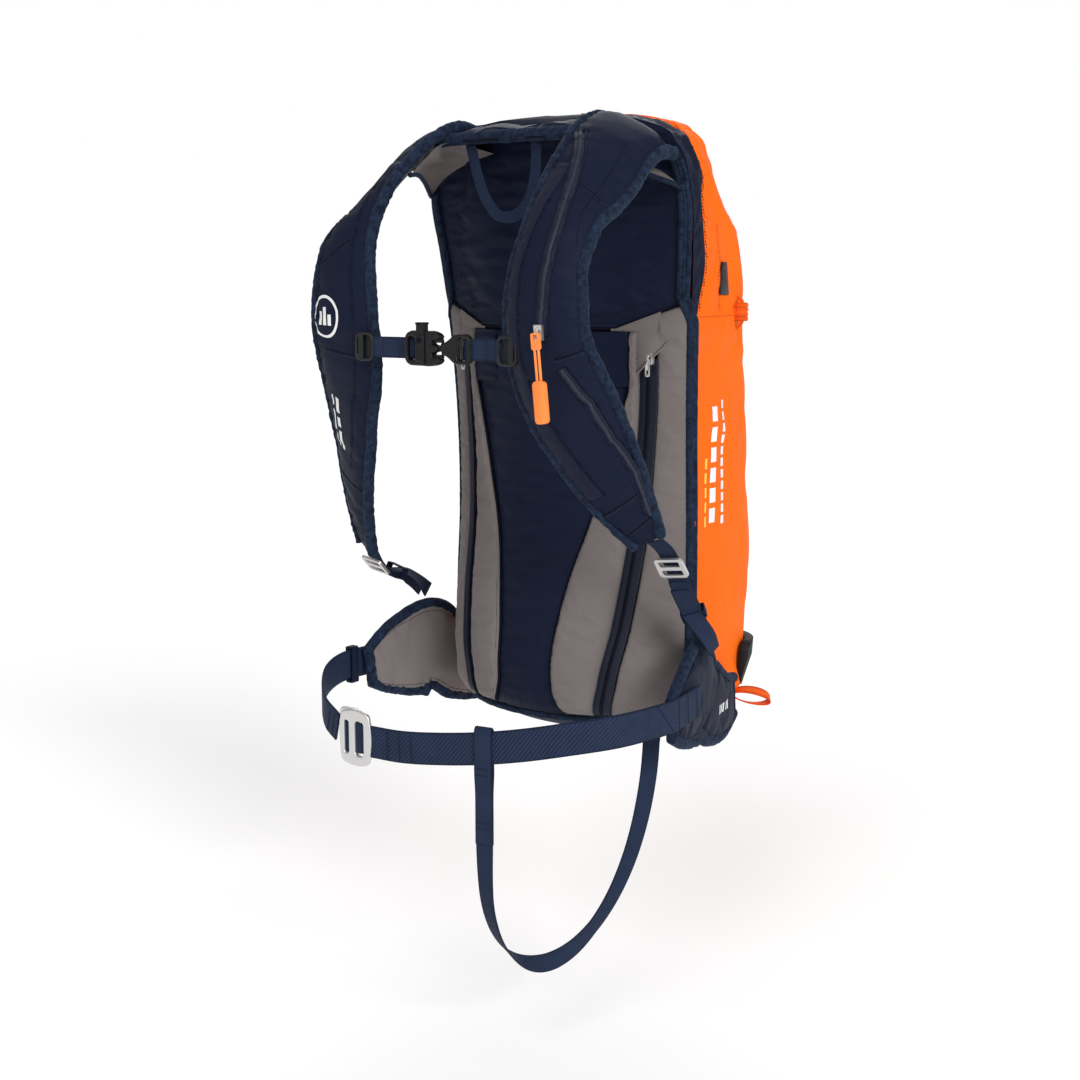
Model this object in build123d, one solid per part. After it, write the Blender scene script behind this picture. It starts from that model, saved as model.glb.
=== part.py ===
from build123d import *
import math
import os

# Avalanche airbag backpack, about 30 litres, standing as it hangs on its wearer.
# Millimetres. +Z is up, the wearer is on the -Y side, +X is the wearer's left.
# The origin is where the middle of the back panel meets the wearer's back.

os.makedirs("parts", exist_ok=True)

# ---------------------------------------------------------------- driving sizes
SHELL_WALL = 4.0
FLAP_GAP = 2.0            # between the back flap and the hole it closes
HINGE_Z = 95.0            # the seam that the back flap folds about
FLAP_TOP = HINGE_Z - 2.0
FLAP_BOTTOM = -293.0
PAD_THICK = 8.0
BASE_THICK = 3.0
SHEET_THICK = 2.0
STAY_THICK = 3.0
STAY_WIDTH = 14.0
LAYER_GAP = 0.4
STRAP_THICK = 11.0
FIN_THICK = 10.0
POCKET_DEPTH = 11.0
FACING_THICK = 2.5
SKIN = 1.3
SMALL_GAP = 0.5
CHEST_WEB = (20.0, 1.6)   # width and thickness of the chest strap webbing
WAIST_WEB = (32.0, 2.6)
LOWER_WEB = (19.0, 1.6)
LEG_WEB = (18.0, 1.6)
LEG_CORD_DIAMETER = 6.0   # round section with the same weight as the flat leg strap

# The bag's plan outline at several heights:
# height, half width at the side seam, seam y, back bulge, front y, half the flat front, corner radius
BAG_OUTLINE = (
    (-322, 112, 58, 50, 186, 62, 44),
    (-302, 138, 52, 72, 214, 76, 50),
    (-262, 147, 49, 80, 226, 84, 50),
    (-200, 148, 50, 74, 231, 86, 50),
    (-100, 146, 53, 56, 229, 85, 50),
    (0, 146, 50, 48, 224, 84, 50),
    (HINGE_Z, 150, 43, 43, 219, 83, 50),
    (170, 157, 33, 26, 210, 82, 50),
    (225, 161, 22, 11, 180, 76, 50),
    (264, 153, 12, 6, 160, 72, 46),
    (290, 126, 9, 4, 142, 66, 42),
    (300, 90, 12, 3, 128, 58, 38),
    (307, 45, 24, 2, 108, 38, 28),
)

# Half the width between the two back zips at several heights
ZIP_LINE = ((FLAP_TOP, 112), (60, 112), (-60, 106), (-130, 102), (-205, 96), (FLAP_BOTTOM, 80))

# The left shoulder strap: centre and half-width vector, from the yoke down to its end
STRAP_RUN = (
    ((122, 2, 284), (42, 0, -13)),
    ((122, -22, 285), (42, 2, -14)),
    ((122, -52, 274), (39, 6, -14)),
    ((124, -86, 246), (35, 11, -14)),
    ((125, -114, 221), (34, 13, -10)),
    ((125, -137, 198), (34, 9, -4)),
    ((124.5, -151, 175), (36, 5.5, 0)),
    ((122, -159, 150), (38, 3, 0)),
    ((121.5, -161, 125), (41, 3, 0)),
    ((121.5, -160.5, 100), (42, 2.5, 0)),
    ((123.5, -155, 75), (43.5, 4, 3)),
    ((129, -147.5, 50), (43, 6.5, 9)),
    ((136.5, -138, 25), (40, 10, 12)),
    ((144, -126.5, 0), (36, 11.5, 12)),
    ((152.5, -114.5, -25), (31, 12.5, 12)),
    ((161, -102.5, -50), (26, 11, 11)),
    ((169, -88, -75), (20, 8, 9)),
    ((176, -73, -98), (14, 5, 6)),
)
POCKET_RUN = STRAP_RUN[4:-1]

# The right strap hangs lower: below this height it is stretched downwards by this share
DROP_START_Z = 25.0
DROP_SHARE = 0.32

# Webbing from the end of each strap to the outside of the hip fin, through the ladder lock.
# Both are given for a left strap, and the right one is mirrored.
LOWER_RUN_LEFT = (
    ((179, -66, -99), (9.5, 0, 2)),
    ((180.5, -53, -108), (9.5, 0, 2)),
    ((182, -38, -125), (9.5, 0, 2)),
    ((183, -22, -150), (9.5, 1, 2)),
    ((184, -2, -178), (8, 4, 3)),
    ((186, 12, -200), (4, 7.5, 4)),
    ((186.5, 22, -220), (0, 8, 5)),
)
LOWER_RUN_RIGHT = (
    ((179, -66, -137), (9.5, 0, 2)),
    ((181, -59, -146), (9.5, 0, 2)),
    ((182, -50, -157), (9.5, 0, 2)),
    ((182, -38, -166), (9.5, 0, 2)),
    ((182, -20, -171), (9, 1, 2)),
    ((182, 0, -177), (7, 5, 4)),
    ((182.5, 20, -189), (4, 7.5, 4)),
    ((182.5, 34, -201), (0, 8, 5)),
)

# The waist belt, centre line of the webbing; its width stands upright
BELT_LEFT = (
    (196.5, -8, -262), (198.5, -40, -265), (200, -64, -266), (197, -92, -266), (184, -130, -268),
    (150, -162, -274), (106, -177, -284), (66, -184, -292), (20, -190, -299), (-31, -195, -304),
    (-63.6, -197.5, -304),
)
BELT_RIGHT = (
    (-198.5, -38, -268), (-200, -62, -268), (-198, -92, -268), (-186, -128, -272), (-162, -161, -280),
    (-135, -184, -290), (-112, -193, -298),
)
BUCKLE_PLACE = (-84, -198, -303)

# The leg strap hangs from the belt, sags and comes back to the bottom of the bag.
# Each point is the distance from the belt towards the bag, and the height.
LEG_START = (66, -184)
LEG_END = (100, 57)
LEG_ROUTE = (
    (0, -384.2), (0, -418), (4, -455), (19, -491), (47, -519), (82, -532), (118, -530),
    (151, -516), (182, -492), (207, -460), (225, -424), (237, -385), (243, -350), (244, -325.2),
)
LEG_LOOP_BOTTOM = -384.0
LOOP_THICK = 7.4
LOOP_TURN = 9.3
BELT_AT_LOOP = -292.0

# Holes in the shell: x, y, z, radius. The release cable passes through the top of the bag.
SHELL_HOLES = ((115, 38, 296, 11.0),)

# Half the width of the centre panel of the back flap at several heights
CENTRE_HALF = (
    (FLAP_TOP, 111), (60, 100), (0, 84), (-65, 70), (-150, 54), (-200, 43), (-262, 37), (-293, 40),
)
ZIP_SLIDER = (8.0, 5.0, 12.0)
SLIDER_TOP_Z = 66.0
LOCK_LIFT = 5.0           # from the webbing's middle to the ladder lock's middle
CHEST_Y = -174.0
CHEST_Z = 80.0

# Release zip and handle on the left strap; stations count along STRAP_RUN
ZIP_SIDE = 5.0            # the zip runs this far to the outside of the strap's middle
SLIDER_GAP = 1.2
SLIDER_STATION = 9
HANDLE_STATION = 8
PULLER_LEAN = 6.0         # degrees
SKI_LOOP_PLACE = (143, 199, -310)

# Inflator, and the release cable inside the bag from its top down to the valve
VALVE_PLACE = (70, 130, 160)
CABLE_RADIUS = 2.5
CABLE_SIDE = 10.0
CABLE_INSIDE = (
    (116, 8, 309), (115, 30, 309), (114, 44, 288), (110, 56, 262),
    (101, 78, 242), (93, 106, 233), (90, 130, 225), (90, 130, 206),
)

PARTS = {}


def keep(name, shape):
    """Store one finished sub-part under its node name."""
    PARTS[name] = shape


def mirror_x(shape):
    return shape.mirror(Plane.YZ)


def both_sides(shape):
    """A left piece and its mirror image as one group of two solids."""
    return Compound([shape, mirror_x(shape)])


def box_at(centre, size):
    return Pos(*centre) * Box(*size)


def rounded_box(size, radius, axis=Axis.Z):
    block = Box(*size)
    return fillet(block.edges().filter_by(axis), radius)


def aim(centre, x_dir, z_dir):
    """A location whose x and z axes point along the two given directions."""
    return Location(Plane(origin=Vector(*centre), x_dir=Vector(*x_dir), z_dir=Vector(*z_dir)))


# ---------------------------------------------------------------- strips of webbing and foam
def strip_frames(run):
    """Centre, half-width vector and unit normal at each station of a run."""
    centres = [Vector(*c) for c, _ in run]
    frames = []
    for i, (_, half) in enumerate(run):
        ahead = centres[min(i + 1, len(run) - 1)]
        behind = centres[max(i - 1, 0)]
        tangent = (ahead - behind).normalized()
        width = Vector(*half)
        width = width - tangent * width.dot(tangent)
        normal = tangent.cross(width).normalized()
        frames.append((centres[i], width, normal))
    return frames


def strip(run, low, high, narrow=0.0):
    """A ruled solid along a run, between two heights along the outward normal."""
    sections = []
    for centre, width, normal in strip_frames(run):
        side = width.normalized() * (width.length - narrow)
        corners = [
            centre - side + normal * low,
            centre + side + normal * low,
            centre + side + normal * high,
            centre - side + normal * high,
        ]
        sections.append(make_face(Polyline(*corners, close=True)))
    return loft(sections, ruled=True)


def band(points, height, thickness, tilt=0.0):
    """Webbing with its width upright, along a line of centre points."""
    run = [(p, (tilt, 0, height / 2)) for p in points]
    return strip(run, -thickness / 2, thickness / 2)


# ---------------------------------------------------------------- the bag
def bag_section(row, inset=0.0, height=None):
    z, half, seam, bulge, front, flat, radius = row
    z = z if height is None else height
    half = half - inset
    seam = seam + inset
    front = front - inset
    radius = max(radius - inset, 4.0)
    corner = radius * math.sqrt(0.5)
    outline = [
        ThreePointArc((-half, seam), (0, seam - bulge), (half, seam)),
        Line((half, seam), (flat + radius, front - radius)),
        ThreePointArc(
            (flat + radius, front - radius),
            (flat + corner, front - radius + corner),
            (flat, front),
        ),
        Line((flat, front), (-flat, front)),
        ThreePointArc(
            (-flat, front),
            (-flat - corner, front - radius + corner),
            (-flat - radius, front - radius),
        ),
        Line((-flat - radius, front - radius), (-half, seam)),
    ]
    return Pos(0, 0, z) * make_face(outline)


def bag_form(inset=0.0):
    rows = list(BAG_OUTLINE)
    sections = [bag_section(row, inset) for row in rows]
    if inset:
        sections[0] = bag_section(rows[0], inset, rows[0][0] + inset)
        sections[-1] = bag_section(rows[-1], inset, rows[-1][0] - inset)
    return loft(sections, ruled=True)


def bag_row(z):
    """The bag's outline values at any height, by straight interpolation."""
    for low, high in zip(BAG_OUTLINE, BAG_OUTLINE[1:]):
        if low[0] <= z <= high[0]:
            share = (z - low[0]) / (high[0] - low[0])
            return tuple(a + (b - a) * share for a, b in zip(low, high))
    raise ValueError("height outside the bag")


def back_y(x, z):
    """y of the outer back surface: a circular arc through both seams and the bulge."""
    _, half, seam, bulge, *_ = bag_row(z)
    radius = (half * half + bulge * bulge) / (2 * bulge)
    return seam - bulge + radius - math.sqrt(radius * radius - x * x)


def side_x(y, z):
    """x of the outer left side wall at a depth and height."""
    _, half, seam, _, front, flat, radius = bag_row(z)
    share = (y - seam) / (front - radius - seam)
    return half + (flat + radius - half) * share


def back_layer(inner, outer, low, high):
    """A curved slab that follows the back surface between two depths."""
    heights = [low] + [row[0] for row in BAG_OUTLINE if low < row[0] < high] + [high]
    sections = []
    for z in heights:
        _, half, seam, bulge, *_ = bag_row(z)
        section = [
            ThreePointArc((-half, seam + outer), (0, seam - bulge + outer), (half, seam + outer)),
            Line((half, seam + outer), (half, seam + inner)),
            ThreePointArc((half, seam + inner), (0, seam - bulge + inner), (-half, seam + inner)),
            Line((-half, seam + inner), (-half, seam + outer)),
        ]
        sections.append(Pos(0, 0, z) * make_face(section))
    return loft(sections, ruled=True)


def upright_prism(points):
    """A prism along Y over an outline given as (x, z) points."""
    face = make_face(Polyline(*[(x, -80, z) for x, z in points], close=True))
    return extrude(face, amount=200, dir=(0, 1, 0))


def zip_outline(shrink):
    """Outline of the back flap, narrowed all round by the given amount."""
    right = [(half - shrink, z) for z, half in ZIP_LINE]
    right[0] = (right[0][0], FLAP_TOP - shrink * 0.5)
    right[-1] = (right[-1][0], FLAP_BOTTOM + shrink)
    left = [(-x, z) for x, z in reversed(right)]
    return right + left


def pack_shell():
    shell = bag_form() - bag_form(SHELL_WALL)
    hole = upright_prism(zip_outline(0.0)) & box_at((0, 0, -100), (400, 200, 600))
    shell -= hole
    for x, y, z, radius in SHELL_HOLES:
        shell -= Pos(x, y, z) * Cylinder(radius, 40)
    return shell


# ---------------------------------------------------------------- the back flap


def centre_outline(grow):
    right = [(half + grow, z) for z, half in CENTRE_HALF]
    left = [(-x, z) for x, z in reversed(right)]
    return right + left


def flap_parts():
    flap = upright_prism(zip_outline(FLAP_GAP))
    low = FLAP_BOTTOM - 1
    pads = back_layer(PAD_THICK, 0, low, HINGE_Z) & flap
    centre = pads & upright_prism(centre_outline(-LAYER_GAP))
    sides = pads - upright_prism(centre_outline(0))
    keep("back_centre_panel", centre)
    left = sides & box_at((100, 0, -100), (200, 400, 600))
    keep("back_pad_left", left)
    keep("back_pad_right", mirror_x(left))
    depth = PAD_THICK + LAYER_GAP
    base = back_layer(depth + BASE_THICK, depth, low, HINGE_Z)
    keep("back_flap_panel", base & flap)
    depth += BASE_THICK + LAYER_GAP
    inner = upright_prism(zip_outline(FLAP_GAP + 12))
    keep("frame_sheet", back_layer(depth + SHEET_THICK, depth, low, HINGE_Z) & inner)
    depth += SHEET_THICK + LAYER_GAP
    slab = back_layer(depth + STAY_THICK, depth, low, HINGE_Z)
    stays = []
    for side in (1, -1):
        lean = ((side * 60, 70), (side * 34, -275))
        outline = [
            (lean[0][0] - STAY_WIDTH / 2, lean[0][1]),
            (lean[0][0] + STAY_WIDTH / 2, lean[0][1]),
            (lean[1][0] + STAY_WIDTH / 2, lean[1][1]),
            (lean[1][0] - STAY_WIDTH / 2, lean[1][1]),
        ]
        stays.append(slab & upright_prism(outline))
    keep("frame_stays", Compound(stays))


# ---------------------------------------------------------------- back zips and their sliders


def back_zips():
    tape = back_layer(-0.1, -SKIN, FLAP_BOTTOM, 80)
    outside = [(half + 9, z) for z, half in ZIP_LINE[1:]]
    inside = [(half + 0.6, z) for z, half in reversed(ZIP_LINE[1:])]
    left = tape & upright_prism(outside + inside)
    keep("back_zip_tapes", both_sides(left))
    inner_edge = [(half - 9, z) for z, half in ZIP_LINE[1:] if z < 60]
    outer_edge = [(half - FLAP_GAP - 0.6, z) for z, half in reversed(ZIP_LINE[1:]) if z < 60]
    flap_left = tape & upright_prism(inner_edge + outer_edge)
    keep("flap_zip_tapes", both_sides(flap_left))


def slider_place(z):
    share = (60 - z) / 120
    x = 116.0 - 6.0 * max(share, 0)
    return x, back_y(x, z) - SKIN - SMALL_GAP - ZIP_SLIDER[1] / 2 - 1.2


def back_zip_slider():
    x, y = slider_place(SLIDER_TOP_Z)
    body = rounded_box(ZIP_SLIDER, 2.0, Axis.Y)
    slot = box_at((0, 0.6, -3), (3.0, 1.6, 8.0))
    bridge = box_at((0, -ZIP_SLIDER[1] / 2 - 1.2, 1), (2.6, 2.6, 6.0))
    pull = box_at((0, -ZIP_SLIDER[1] / 2 - 1.6, -9), (5.0, 1.6, 17.0))
    pull = fillet(pull.edges().filter_by(Axis.Y), 1.5)
    pull -= box_at((0, -ZIP_SLIDER[1] / 2 - 1.6, -13), (2.4, 4.0, 4.0))
    return Pos(x, y, SLIDER_TOP_Z) * (body - slot + bridge + pull)


def zip_garage():
    """The pointed flap that covers the top of a back zip."""
    x, y = slider_place(SLIDER_TOP_Z)
    outer = box_at((x, y - 0.6, 74), (22, 16, 34))
    inner = box_at((x, y - 0.6, 70), (16.6, 14.2, 36))
    corners = ((x - 11, 57), (x + 11, 57), (x + 11, 84), (x, 91), (x - 11, 84))
    pointed = upright_prism(corners)
    behind = back_layer(60, -SKIN - 0.2, 40, HINGE_Z)
    return (outer & pointed) - inner - behind


# ---------------------------------------------------------------- shoulder harness
def shoulder_yoke():
    run = [
        ((0, 3.5, 297), (74, 0, 0)),
        ((0, -20, 297), (76, 0, 0)),
        ((0, -46, 290), (78, 0, 0)),
    ]
    return strip(run, -4, 7)


def lowered(run):
    """The same run with its lower end stretched downwards, as the right strap hangs."""
    out = []
    for (x, y, z), half in run:
        out.append(((x, y, z - DROP_SHARE * max(0, DROP_START_Z - z)), half))
    return out


def strap_foam(run):
    return strip(run, -STRAP_THICK / 2, STRAP_THICK / 2)


def strap_pocket():
    """Outer cover of the left strap: a shallow channel that is open towards the foam."""
    low = STRAP_THICK / 2 + 0.3
    cover = strip(POCKET_RUN, low, low + POCKET_DEPTH, 3.0)
    hollow = strip(STRAP_RUN[3:-4], low - 1.0, low + POCKET_DEPTH - SKIN, 3.0 + 3.0)
    hook_notch = box_at((84, CHEST_Y, CHEST_Z), (32, 14, 32))
    return cover - hollow - hook_notch


def strap_facing():
    low = STRAP_THICK / 2 + 0.3
    return strip(lowered(POCKET_RUN), low, low + FACING_THICK, 2.0)


def lower_webbing(run):
    """Webbing through the ladder lock, with its free end folded back along it."""
    half = LOWER_WEB[1] / 2
    spare = strip(run[2:-1], half - 0.1, half + LOWER_WEB[1], 0.5)
    return strip(run, -half, half) + spare


def ladder_lock():
    """Flat aluminium adjuster with three bars and two slots."""
    plate = rounded_box((30, 24, 3.0), 4.0)
    for y in (-5.5, 5.5):
        plate -= rounded_box((21.5, 6.6, 6.0), 1.5).moved(Location((0, y, 0)))
    return plate


def lock_placed(run):
    centre, width, normal = strip_frames(run)[2]
    place = aim(centre + normal * LOCK_LIFT, width, normal)
    return place * ladder_lock()


def web_keeper(run):
    """Elastic loop that holds the folded spare webbing."""
    centre, width, normal = strip_frames(run)[4]
    place = aim(centre, width, normal)
    ring = rounded_box((25, 9, 12.4), 1.5, Axis.Y) - Box(22.4, 20, 9.6)
    return place * ring


# ---------------------------------------------------------------- chest strap


def sternum_hook():
    """Moulded hook plate that holds the chest strap to the shoulder strap."""
    plate = rounded_box((22, 5, 27), 4.0, Axis.Y)
    plate -= box_at((-5, 0, 0), (4.4, 20, 21.5))
    plate -= box_at((5, 0, 0), (4.4, 20, 21.5))
    return Pos(88, CHEST_Y, CHEST_Z) * plate


def chest_web(x0, x1):
    return box_at(((x0 + x1) / 2, CHEST_Y, CHEST_Z), (x1 - x0, CHEST_WEB[1], CHEST_WEB[0]))


def buckle_female():
    """Socket half of the chest buckle, with side windows and a whistle on its outer end."""
    body = rounded_box((42, 11, 32), 6.0, Axis.Y)
    body = body.moved(Location((-10, CHEST_Y, CHEST_Z)))
    mouth = box_at((2, CHEST_Y, CHEST_Z), (24, 6.4, 22))
    windows = box_at((-2, CHEST_Y, CHEST_Z), (12, 6.4, 40))
    web_slot = box_at((-23.5, CHEST_Y, CHEST_Z), (8, 20, 22))
    whistle = Pos(-12, CHEST_Y, CHEST_Z + 19) * rounded_box((9, 9, 10), 2.0, Axis.Z)
    whistle -= box_at((-12, CHEST_Y, CHEST_Z + 21), (5.5, 5.0, 8))
    return body - mouth - windows - web_slot + whistle


def buckle_male():
    """Plug half: the bar that holds the webbing, and the middle guide."""
    bar = rounded_box((33.5, 8, 27), 3.0, Axis.Y).moved(Location((29.25, CHEST_Y, CHEST_Z)))
    bar -= box_at((38, CHEST_Y, CHEST_Z), (9, 20, 21.5))
    for side in (-1, 1):
        bar -= box_at((21, CHEST_Y, CHEST_Z + side * 13.5), (11, 20, 9))
    guide = box_at((3.5, CHEST_Y, CHEST_Z), (19, 4.6, 5))
    return bar + guide


def buckle_prong(side):
    """One springy arm of the plug, with its barb showing in the side window."""
    arm = box_at((6.2, CHEST_Y, CHEST_Z + side * 7.2), (12, 4.6, 3.2))
    barb = box_at((-2.0, CHEST_Y, CHEST_Z + side * 9.4), (7.6, 4.6, 7.4))
    return arm + barb


def strap_tab():
    """Small stiff tab on the wearer's right strap."""
    return Pos(-167, -58, 268) * rounded_box((7, 9, 4), 1.5)


# ---------------------------------------------------------------- release zip, puller and handle


def strap_zip_chain():
    low = STRAP_THICK / 2 + 0.3 + POCKET_DEPTH + 0.15
    run = []
    for centre, half in POCKET_RUN[0:6]:
        across = Vector(*half).normalized()
        run.append((tuple(Vector(*centre) + across * ZIP_SIDE), tuple(across * 4.5)))
    return strip(run, low, low + 1.0)


def slider_origin():
    _, _, normal = strip_frames(STRAP_RUN)[SLIDER_STATION]
    centre = Vector(*STRAP_RUN[SLIDER_STATION][0]) + Vector(ZIP_SIDE, 0, 0)
    lift = STRAP_THICK / 2 + 0.3 + POCKET_DEPTH + 1.15 + SLIDER_GAP + 2.0
    return centre + normal * lift, normal


def strap_zip_slider():
    centre, normal = slider_origin()
    place = aim(centre, (1, 0, 0), normal)
    body = Box(8, 14, 4.0) + Pos(0, 0, 2.6) * Box(3, 9, 2.4)
    body -= Pos(0, 0, 2.6) * Box(6, 4, 1.4)
    return place * body


def puller_origin():
    centre, normal = slider_origin()
    return centre + normal * 5.8


def zip_puller():
    """Clip, doubled cord and moulded tab that hang from the slider."""
    clip = rounded_box((9, 3.2, 15), 2.0, Axis.Y) - box_at((0, 0, 3.5), (4.4, 8, 5.0))
    shape = clip.moved(Location((0, 0, -7)))
    for side in (-2.0, 2.0):
        shape += Pos(side, 0, -28) * Cylinder(1.3, 28)
    shape += rounded_box((12, 6, 38), 4.0, Axis.Y).moved(Location((0, 0, -61)))
    top = puller_origin()
    return Pos(top.X, top.Y, top.Z) * Rot(0, -PULLER_LEAN, 0) * shape


def release_handle():
    """Grip that fires the airbag, stored in the strap pocket."""
    _, _, normal = strip_frames(STRAP_RUN)[HANDLE_STATION]
    centre = Vector(*STRAP_RUN[HANDLE_STATION][0]) + normal * (STRAP_THICK / 2 + 0.3 + 4.2)
    grip = fillet(Box(30, 44, 4.6).edges().filter_by(Axis.Z), 6)
    grip -= Box(15, 26, 12)
    return aim(centre, (1, 0, 0), normal) * grip


# ---------------------------------------------------------------- hip belt
def hip_fin():
    """Padded wing that wraps the lower side of the bag and reaches forward to the webbing."""
    run = [
        ((148, 144, -296), (0, 0, 24)),
        ((157, 104, -298), (0, 0, 36)),
        ((165, 64, -285), (0, 0, 48)),
        ((173, 30, -265), (0, 0, 55)),
        ((182, -6, -267), (0, 0, 48)),
        ((189, -34, -271), (0, 0, 36)),
        ((192.5, -56, -274), (0, 0, 22)),
    ]
    return strip(run, -FIN_THICK / 2, FIN_THICK / 2)


def waist_left():
    return band(BELT_LEFT, WAIST_WEB[0], WAIST_WEB[1])


def waist_right():
    return band(BELT_RIGHT, WAIST_WEB[0], WAIST_WEB[1])


def waist_buckle_frame():
    """Fixed plate of the metal waist buckle, sewn to the short webbing."""
    frame = rounded_box((24, 4, 50), 5.0, Axis.Y)
    frame -= box_at((0, 0, 0), (14, 20, 33))
    return Pos(BUCKLE_PLACE[0] - 11, BUCKLE_PLACE[1] + 5.0, BUCKLE_PLACE[2] + 3) * frame


def waist_buckle_ring():
    """Hook plate that the long webbing is sewn to."""
    ring = rounded_box((40, 3.6, 56), 8.0, Axis.Y)
    ring -= box_at((7, 0, -1), (12, 20, 34))
    ring -= box_at((-12, 0, 0), (5, 20, 34))
    return Pos(*BUCKLE_PLACE) * ring


def waist_keeper():
    x, y, z = BELT_RIGHT[1]
    ring = rounded_box((10, 10, 40), 2.0, Axis.Y) - Box(6.5, 30, 35)
    return Pos(x + 0.6, y - 13, z) * ring


# ---------------------------------------------------------------- leg strap
def leg_loop():
    """Doubled end of the leg strap, sewn round the waist webbing."""
    x, y = LEG_START
    top = BELT_AT_LOOP + WAIST_WEB[0] / 2 + 3.4
    height = top - LEG_LOOP_BOTTOM
    body = box_at((0, 0, LEG_LOOP_BOTTOM + height / 2), (LEG_WEB[0], LOOP_THICK, height))
    eye = box_at((0, 0, BELT_AT_LOOP), (60, LOOP_THICK - 2 * LEG_WEB[1], WAIST_WEB[0] + 3.6))
    return Pos(x, y, 0) * Rot(0, 0, LOOP_TURN) * (body - eye)


def leg_points():
    dx = LEG_END[0] - LEG_START[0]
    dy = LEG_END[1] - LEG_START[1]
    length = math.hypot(dx, dy)
    points = []
    for away, z in LEG_ROUTE:
        points.append(Vector(LEG_START[0] + dx * away / length, LEG_START[1] + dy * away / length, z))
    return points


def corner_radii(points):
    radii = []
    for before, here, after in zip(points, points[1:], points[2:]):
        turn = math.radians((here - before).get_angle(after - here))
        run = min((here - before).length, (after - here).length)
        radii.append(0.45 * run / math.tan(turn / 2))
    return radii


def leg_strap():
    points = leg_points()
    radii = corner_radii(points)
    path = FilletPolyline(*points, radius=radii)
    plane = Plane(origin=points[0], z_dir=points[1] - points[0])
    tube = sweep(plane * Circle(LEG_CORD_DIAMETER / 2), path=path)
    area = math.pi * LEG_CORD_DIAMETER ** 2 / 4
    print("leg strap radii", [round(r) for r in radii])
    ratio = tube.volume / (area * path.length)
    print("leg strap length", round(path.length), "volume ratio", round(ratio, 3))
    return tube


def leg_anchor():
    """Sewn tab under the bag that the leg strap goes back into."""
    x, y = LEG_END
    return box_at((x, y, -323.65), (22, 12, 2.9))


# ---------------------------------------------------------------- loops and trim on the bag
def haul_loop():
    """Webbing grab loop that hangs from the yoke."""
    left = (-59, -40, 274)
    run = [
        (left, (6, 0, 1)),
        ((-56, -32, 245), (6, 0, 1)),
        ((-50, -26, 222), (5.5, 0, 3)),
        ((-36, -24, 207), (3, 0, 5)),
        ((-18, -24, 206), (-2, 0, 6)),
        ((0, -26, 217), (-5, 0, 4)),
        ((14, -32, 240), (-6, 0, 2)),
        ((22, -40, 274), (-6, 0, 1)),
    ]
    return strip(run, -0.8, 0.8)


def side_loop(z):
    """Short webbing ladder on the side of the bag for a ski or a pole."""
    y = 150
    x = side_x(y, z)
    shape = box_at((0, 0, 0), (9, 20, 34))
    shape = fillet(shape.edges().filter_by(Axis.Y), 3.5)
    shape -= box_at((0, 0, 0), (5.4, 40, 27))
    return shape.moved(Location((x + 5.2, y + 10, z)))


def ski_loop():
    """Webbing loop at the lower corner of the bag, for the tail of a ski."""
    outer = fillet(Box(44, 16, 18).edges().filter_by(Axis.Y), 6)
    inner = fillet(Box(39, 40, 13).edges().filter_by(Axis.Y), 5)
    return Pos(*SKI_LOOP_PLACE) * Rot(0, 14, 38) * (outer - inner)


def corner_pad():
    """Rubber scuff pad on the lower front corner."""
    rows = BAG_OUTLINE[:4]
    block = fillet(box_at((112, 214, -270), (70, 70, 50)).edges(), 12)
    grown = loft([bag_section(row, -10.0) for row in rows], ruled=True)
    skin = loft([bag_section(row, -0.4) for row in rows], ruled=True)
    return (grown & block) - skin


def front_pocket():
    """Panel of the front tool pocket, a shallow dome on the front of the bag."""
    rows = BAG_OUTLINE[2:8]
    grown = loft([bag_section(row, -7.0) for row in rows], ruled=True)
    skin = loft([bag_section(row, -0.4) for row in rows], ruled=True)
    block = box_at((0, 260, -40), (160, 110, 330))
    return (grown & block) - skin


def label_tab():
    y, z = 117, 146
    return box_at((side_x(y, z) + 3.6, y, z), (5.0, 1.2, 30))


def burst_zip():
    """The seam over the top that tears open for the airbag."""
    rows = BAG_OUTLINE[8:]
    grown = loft([bag_section(row, -2.0) for row in rows], ruled=True)
    skin = loft([bag_section(row, -0.4) for row in rows], ruled=True)
    slab = box_at((0, 70, 262), (400, 8, 120))
    strip_all = (grown & slab) - skin
    return strip_all


# ---------------------------------------------------------------- inside the bag
def airbag():
    """Folded airbag in the top of the bag."""
    block = fillet(Box(165, 88, 54).edges(), 20)
    return Pos(-27, 86, 228) * block


def inflator_housing():
    """Valve block with a square bore for the gas and a socket for the cartridge."""
    block = fillet(Box(64, 42, 46).edges().filter_by(Axis.Z), 8)
    block -= Pos(-18, 0, -16) * Cylinder(9.05, 20)
    block -= Pos(20, 0, 12) * Cylinder(3.05, 24)
    return Pos(*VALVE_PLACE) * block


def inlet_grille():
    plate = fillet(Box(54, 3, 34).edges().filter_by(Axis.Y), 6)
    for x in range(-20, 21, 8):
        plate -= box_at((x, 0, 0), (4, 10, 24))
    return plate.moved(Location((VALVE_PLACE[0], VALVE_PLACE[1] + 23.0, VALVE_PLACE[2])))


def gas_cartridge():
    x, y, z = VALVE_PLACE
    neck = Pos(x - 18, y, z - 20) * Cylinder(9.0, 26)
    body = Pos(x - 18, y, z - 33 - 95) * Cylinder(26, 190)
    body = fillet(body.edges(), 9)
    return body + neck


def cartridge_strap():
    x, y, z = VALVE_PLACE
    ring = Cylinder(30, 24) - Cylinder(27, 40)
    return Pos(x - 18, y, z - 150) * ring


def valve_plunger():
    x, y, z = VALVE_PLACE
    return Pos(x + 20, y, z + 18) * (Cylinder(3.0, 34) + Pos(0, 0, 19) * Cylinder(5.0, 4))


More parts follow.
